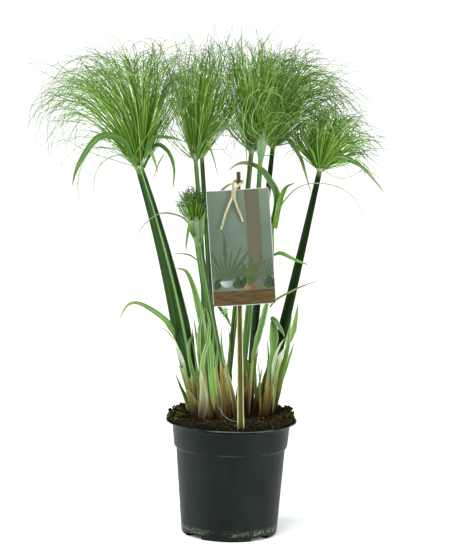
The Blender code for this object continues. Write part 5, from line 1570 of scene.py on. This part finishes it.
curl_radii = mm(np.linspace(0.38, 0.18, CURL_STEPS + 1)) * chance.uniform(0.8, 1.2, (curl_count, 1))
points, faces = tubes(curl_runs, curl_radii, CURL_SIDES)
curl_tone = np.repeat(chance.uniform(0.30, 0.88, curl_count), (CURL_STEPS + 1) * CURL_SIDES)
add_piece("loose_threads", points, faces, ray_finish,
          marks={"along": np.full(len(points), 0.72), "tone": curl_tone}, face_out=False)

# ---------------------------------------------------------------- young heads and collars
# The short stem in front carries a young head: a pale cup of bracts holding a tight dark tuft of rays.
# Beside it, a thin pale stem ends in a translucent bud, and a pale torn collar rings each open head's hub.

cup_finish, tree, shader = new_material("young_cup", 0.45, specular_ior_level=0.25)
grain = read_mark(tree, "grain", "Vector")
along = read_mark(tree, "along")
veins = streaked(tree, grain, 0.0011, 24.0, 1.4)
colour = blend_ramp(tree, along, [
    (0.0, (0.090, 0.180, 0.060)), (0.40, (0.190, 0.290, 0.150)), (1.0, (0.330, 0.410, 0.250)),
])
colour = mix_colour(tree, times(tree, veins, 0.75), colour, (0.080, 0.160, 0.050, 1))
paint(tree, shader, colour)
raise_surface(tree, shader, veins, 0.0002, 0.6)
shoot("cup_e", [(-38, -35, 316), (-39, -34.6, 326), (-40, -34.2, 336), (-40, -34, 344)], (4.2, 6.6, 7.9, 6.6),
      cup_finish, {}, sides=24)
head("umbel_e", (-40, -34, 340), GUIDES_E, (20, 20), 260, 12, ["umbel_e"], fine=1.1, fork=0.72, loose=0.3,
     slim=7.0, taller=1.10)
shoot("bud_c2", [(25, -28, 401), (25.2, -28.3, 411), (25.4, -28.6, 420), (25.6, -29, 429), (25.8, -29, 437)],
      (2.3, 4.2, 5.0, 4.0, 1.0), cup_finish, {}, sides=20)
head("bud_c2", (25.6, -29, 424), GUIDES_E, (22, 14), 90, 15, [], thick=0.8, fine=0.9, forks=(1, 4), fork=0.5,
     loose=0.9, slim=3.5, taller=1.7)


COLLAR_SIDES = 36


def collar(stem, height, flare, tip_turn, seed):
    """A pale torn membrane round a stem's crown, higher and wider on its tip's side. Sizes in millimetres."""
    chance = np.random.default_rng(seed)
    turns = np.linspace(0, math.tau, COLLAR_SIDES, endpoint=False)
    reach = 0.45 + 0.55 * (0.5 + 0.5 * np.cos(turns - math.radians(tip_turn))) ** 1.6
    reach = reach + torn(COLLAR_SIDES, 0.14, chance)
    share = np.linspace(0, 1, 8)[:, None]
    level = 1 + (mm(height) * share * reach - mm(2.5)) / stem_length(stem)
    out = mm(0.25) + mm(flare) * share**1.4 * reach
    outer = stem_point(stem, level, turns[None], out + mm(0.18))
    inner = stem_point(stem, level, turns[None], out - mm(0.05))
    points, faces = skin(np.concatenate([outer, inner[::-1]]), capped=False)
    wrap = np.abs(turns - math.pi)[None] * mm(5) * np.ones_like(level)
    grain = np.stack([wrap, level * stem_length(stem), np.full_like(level, seed * 0.01)], axis=-1)
    along = np.broadcast_to(0.55 + 0.45 * share, level.shape)
    add_piece("collar_" + stem, points, faces, cup_finish, marks={
        "grain": both_faces(grain).reshape(-1, 3), "along": both_faces(along).ravel()})


collar("a", 5, 2.0, -140, 1)
collar("b1", 10, 3.8, 200, 2)
collar("b2", 10, 3.5, -20, 3)
collar("c1", 9, 3.0, -90, 4)
collar("c3", 7, 2.4, -60, 5)
collar("d", 6, 3.0, -20, 6)
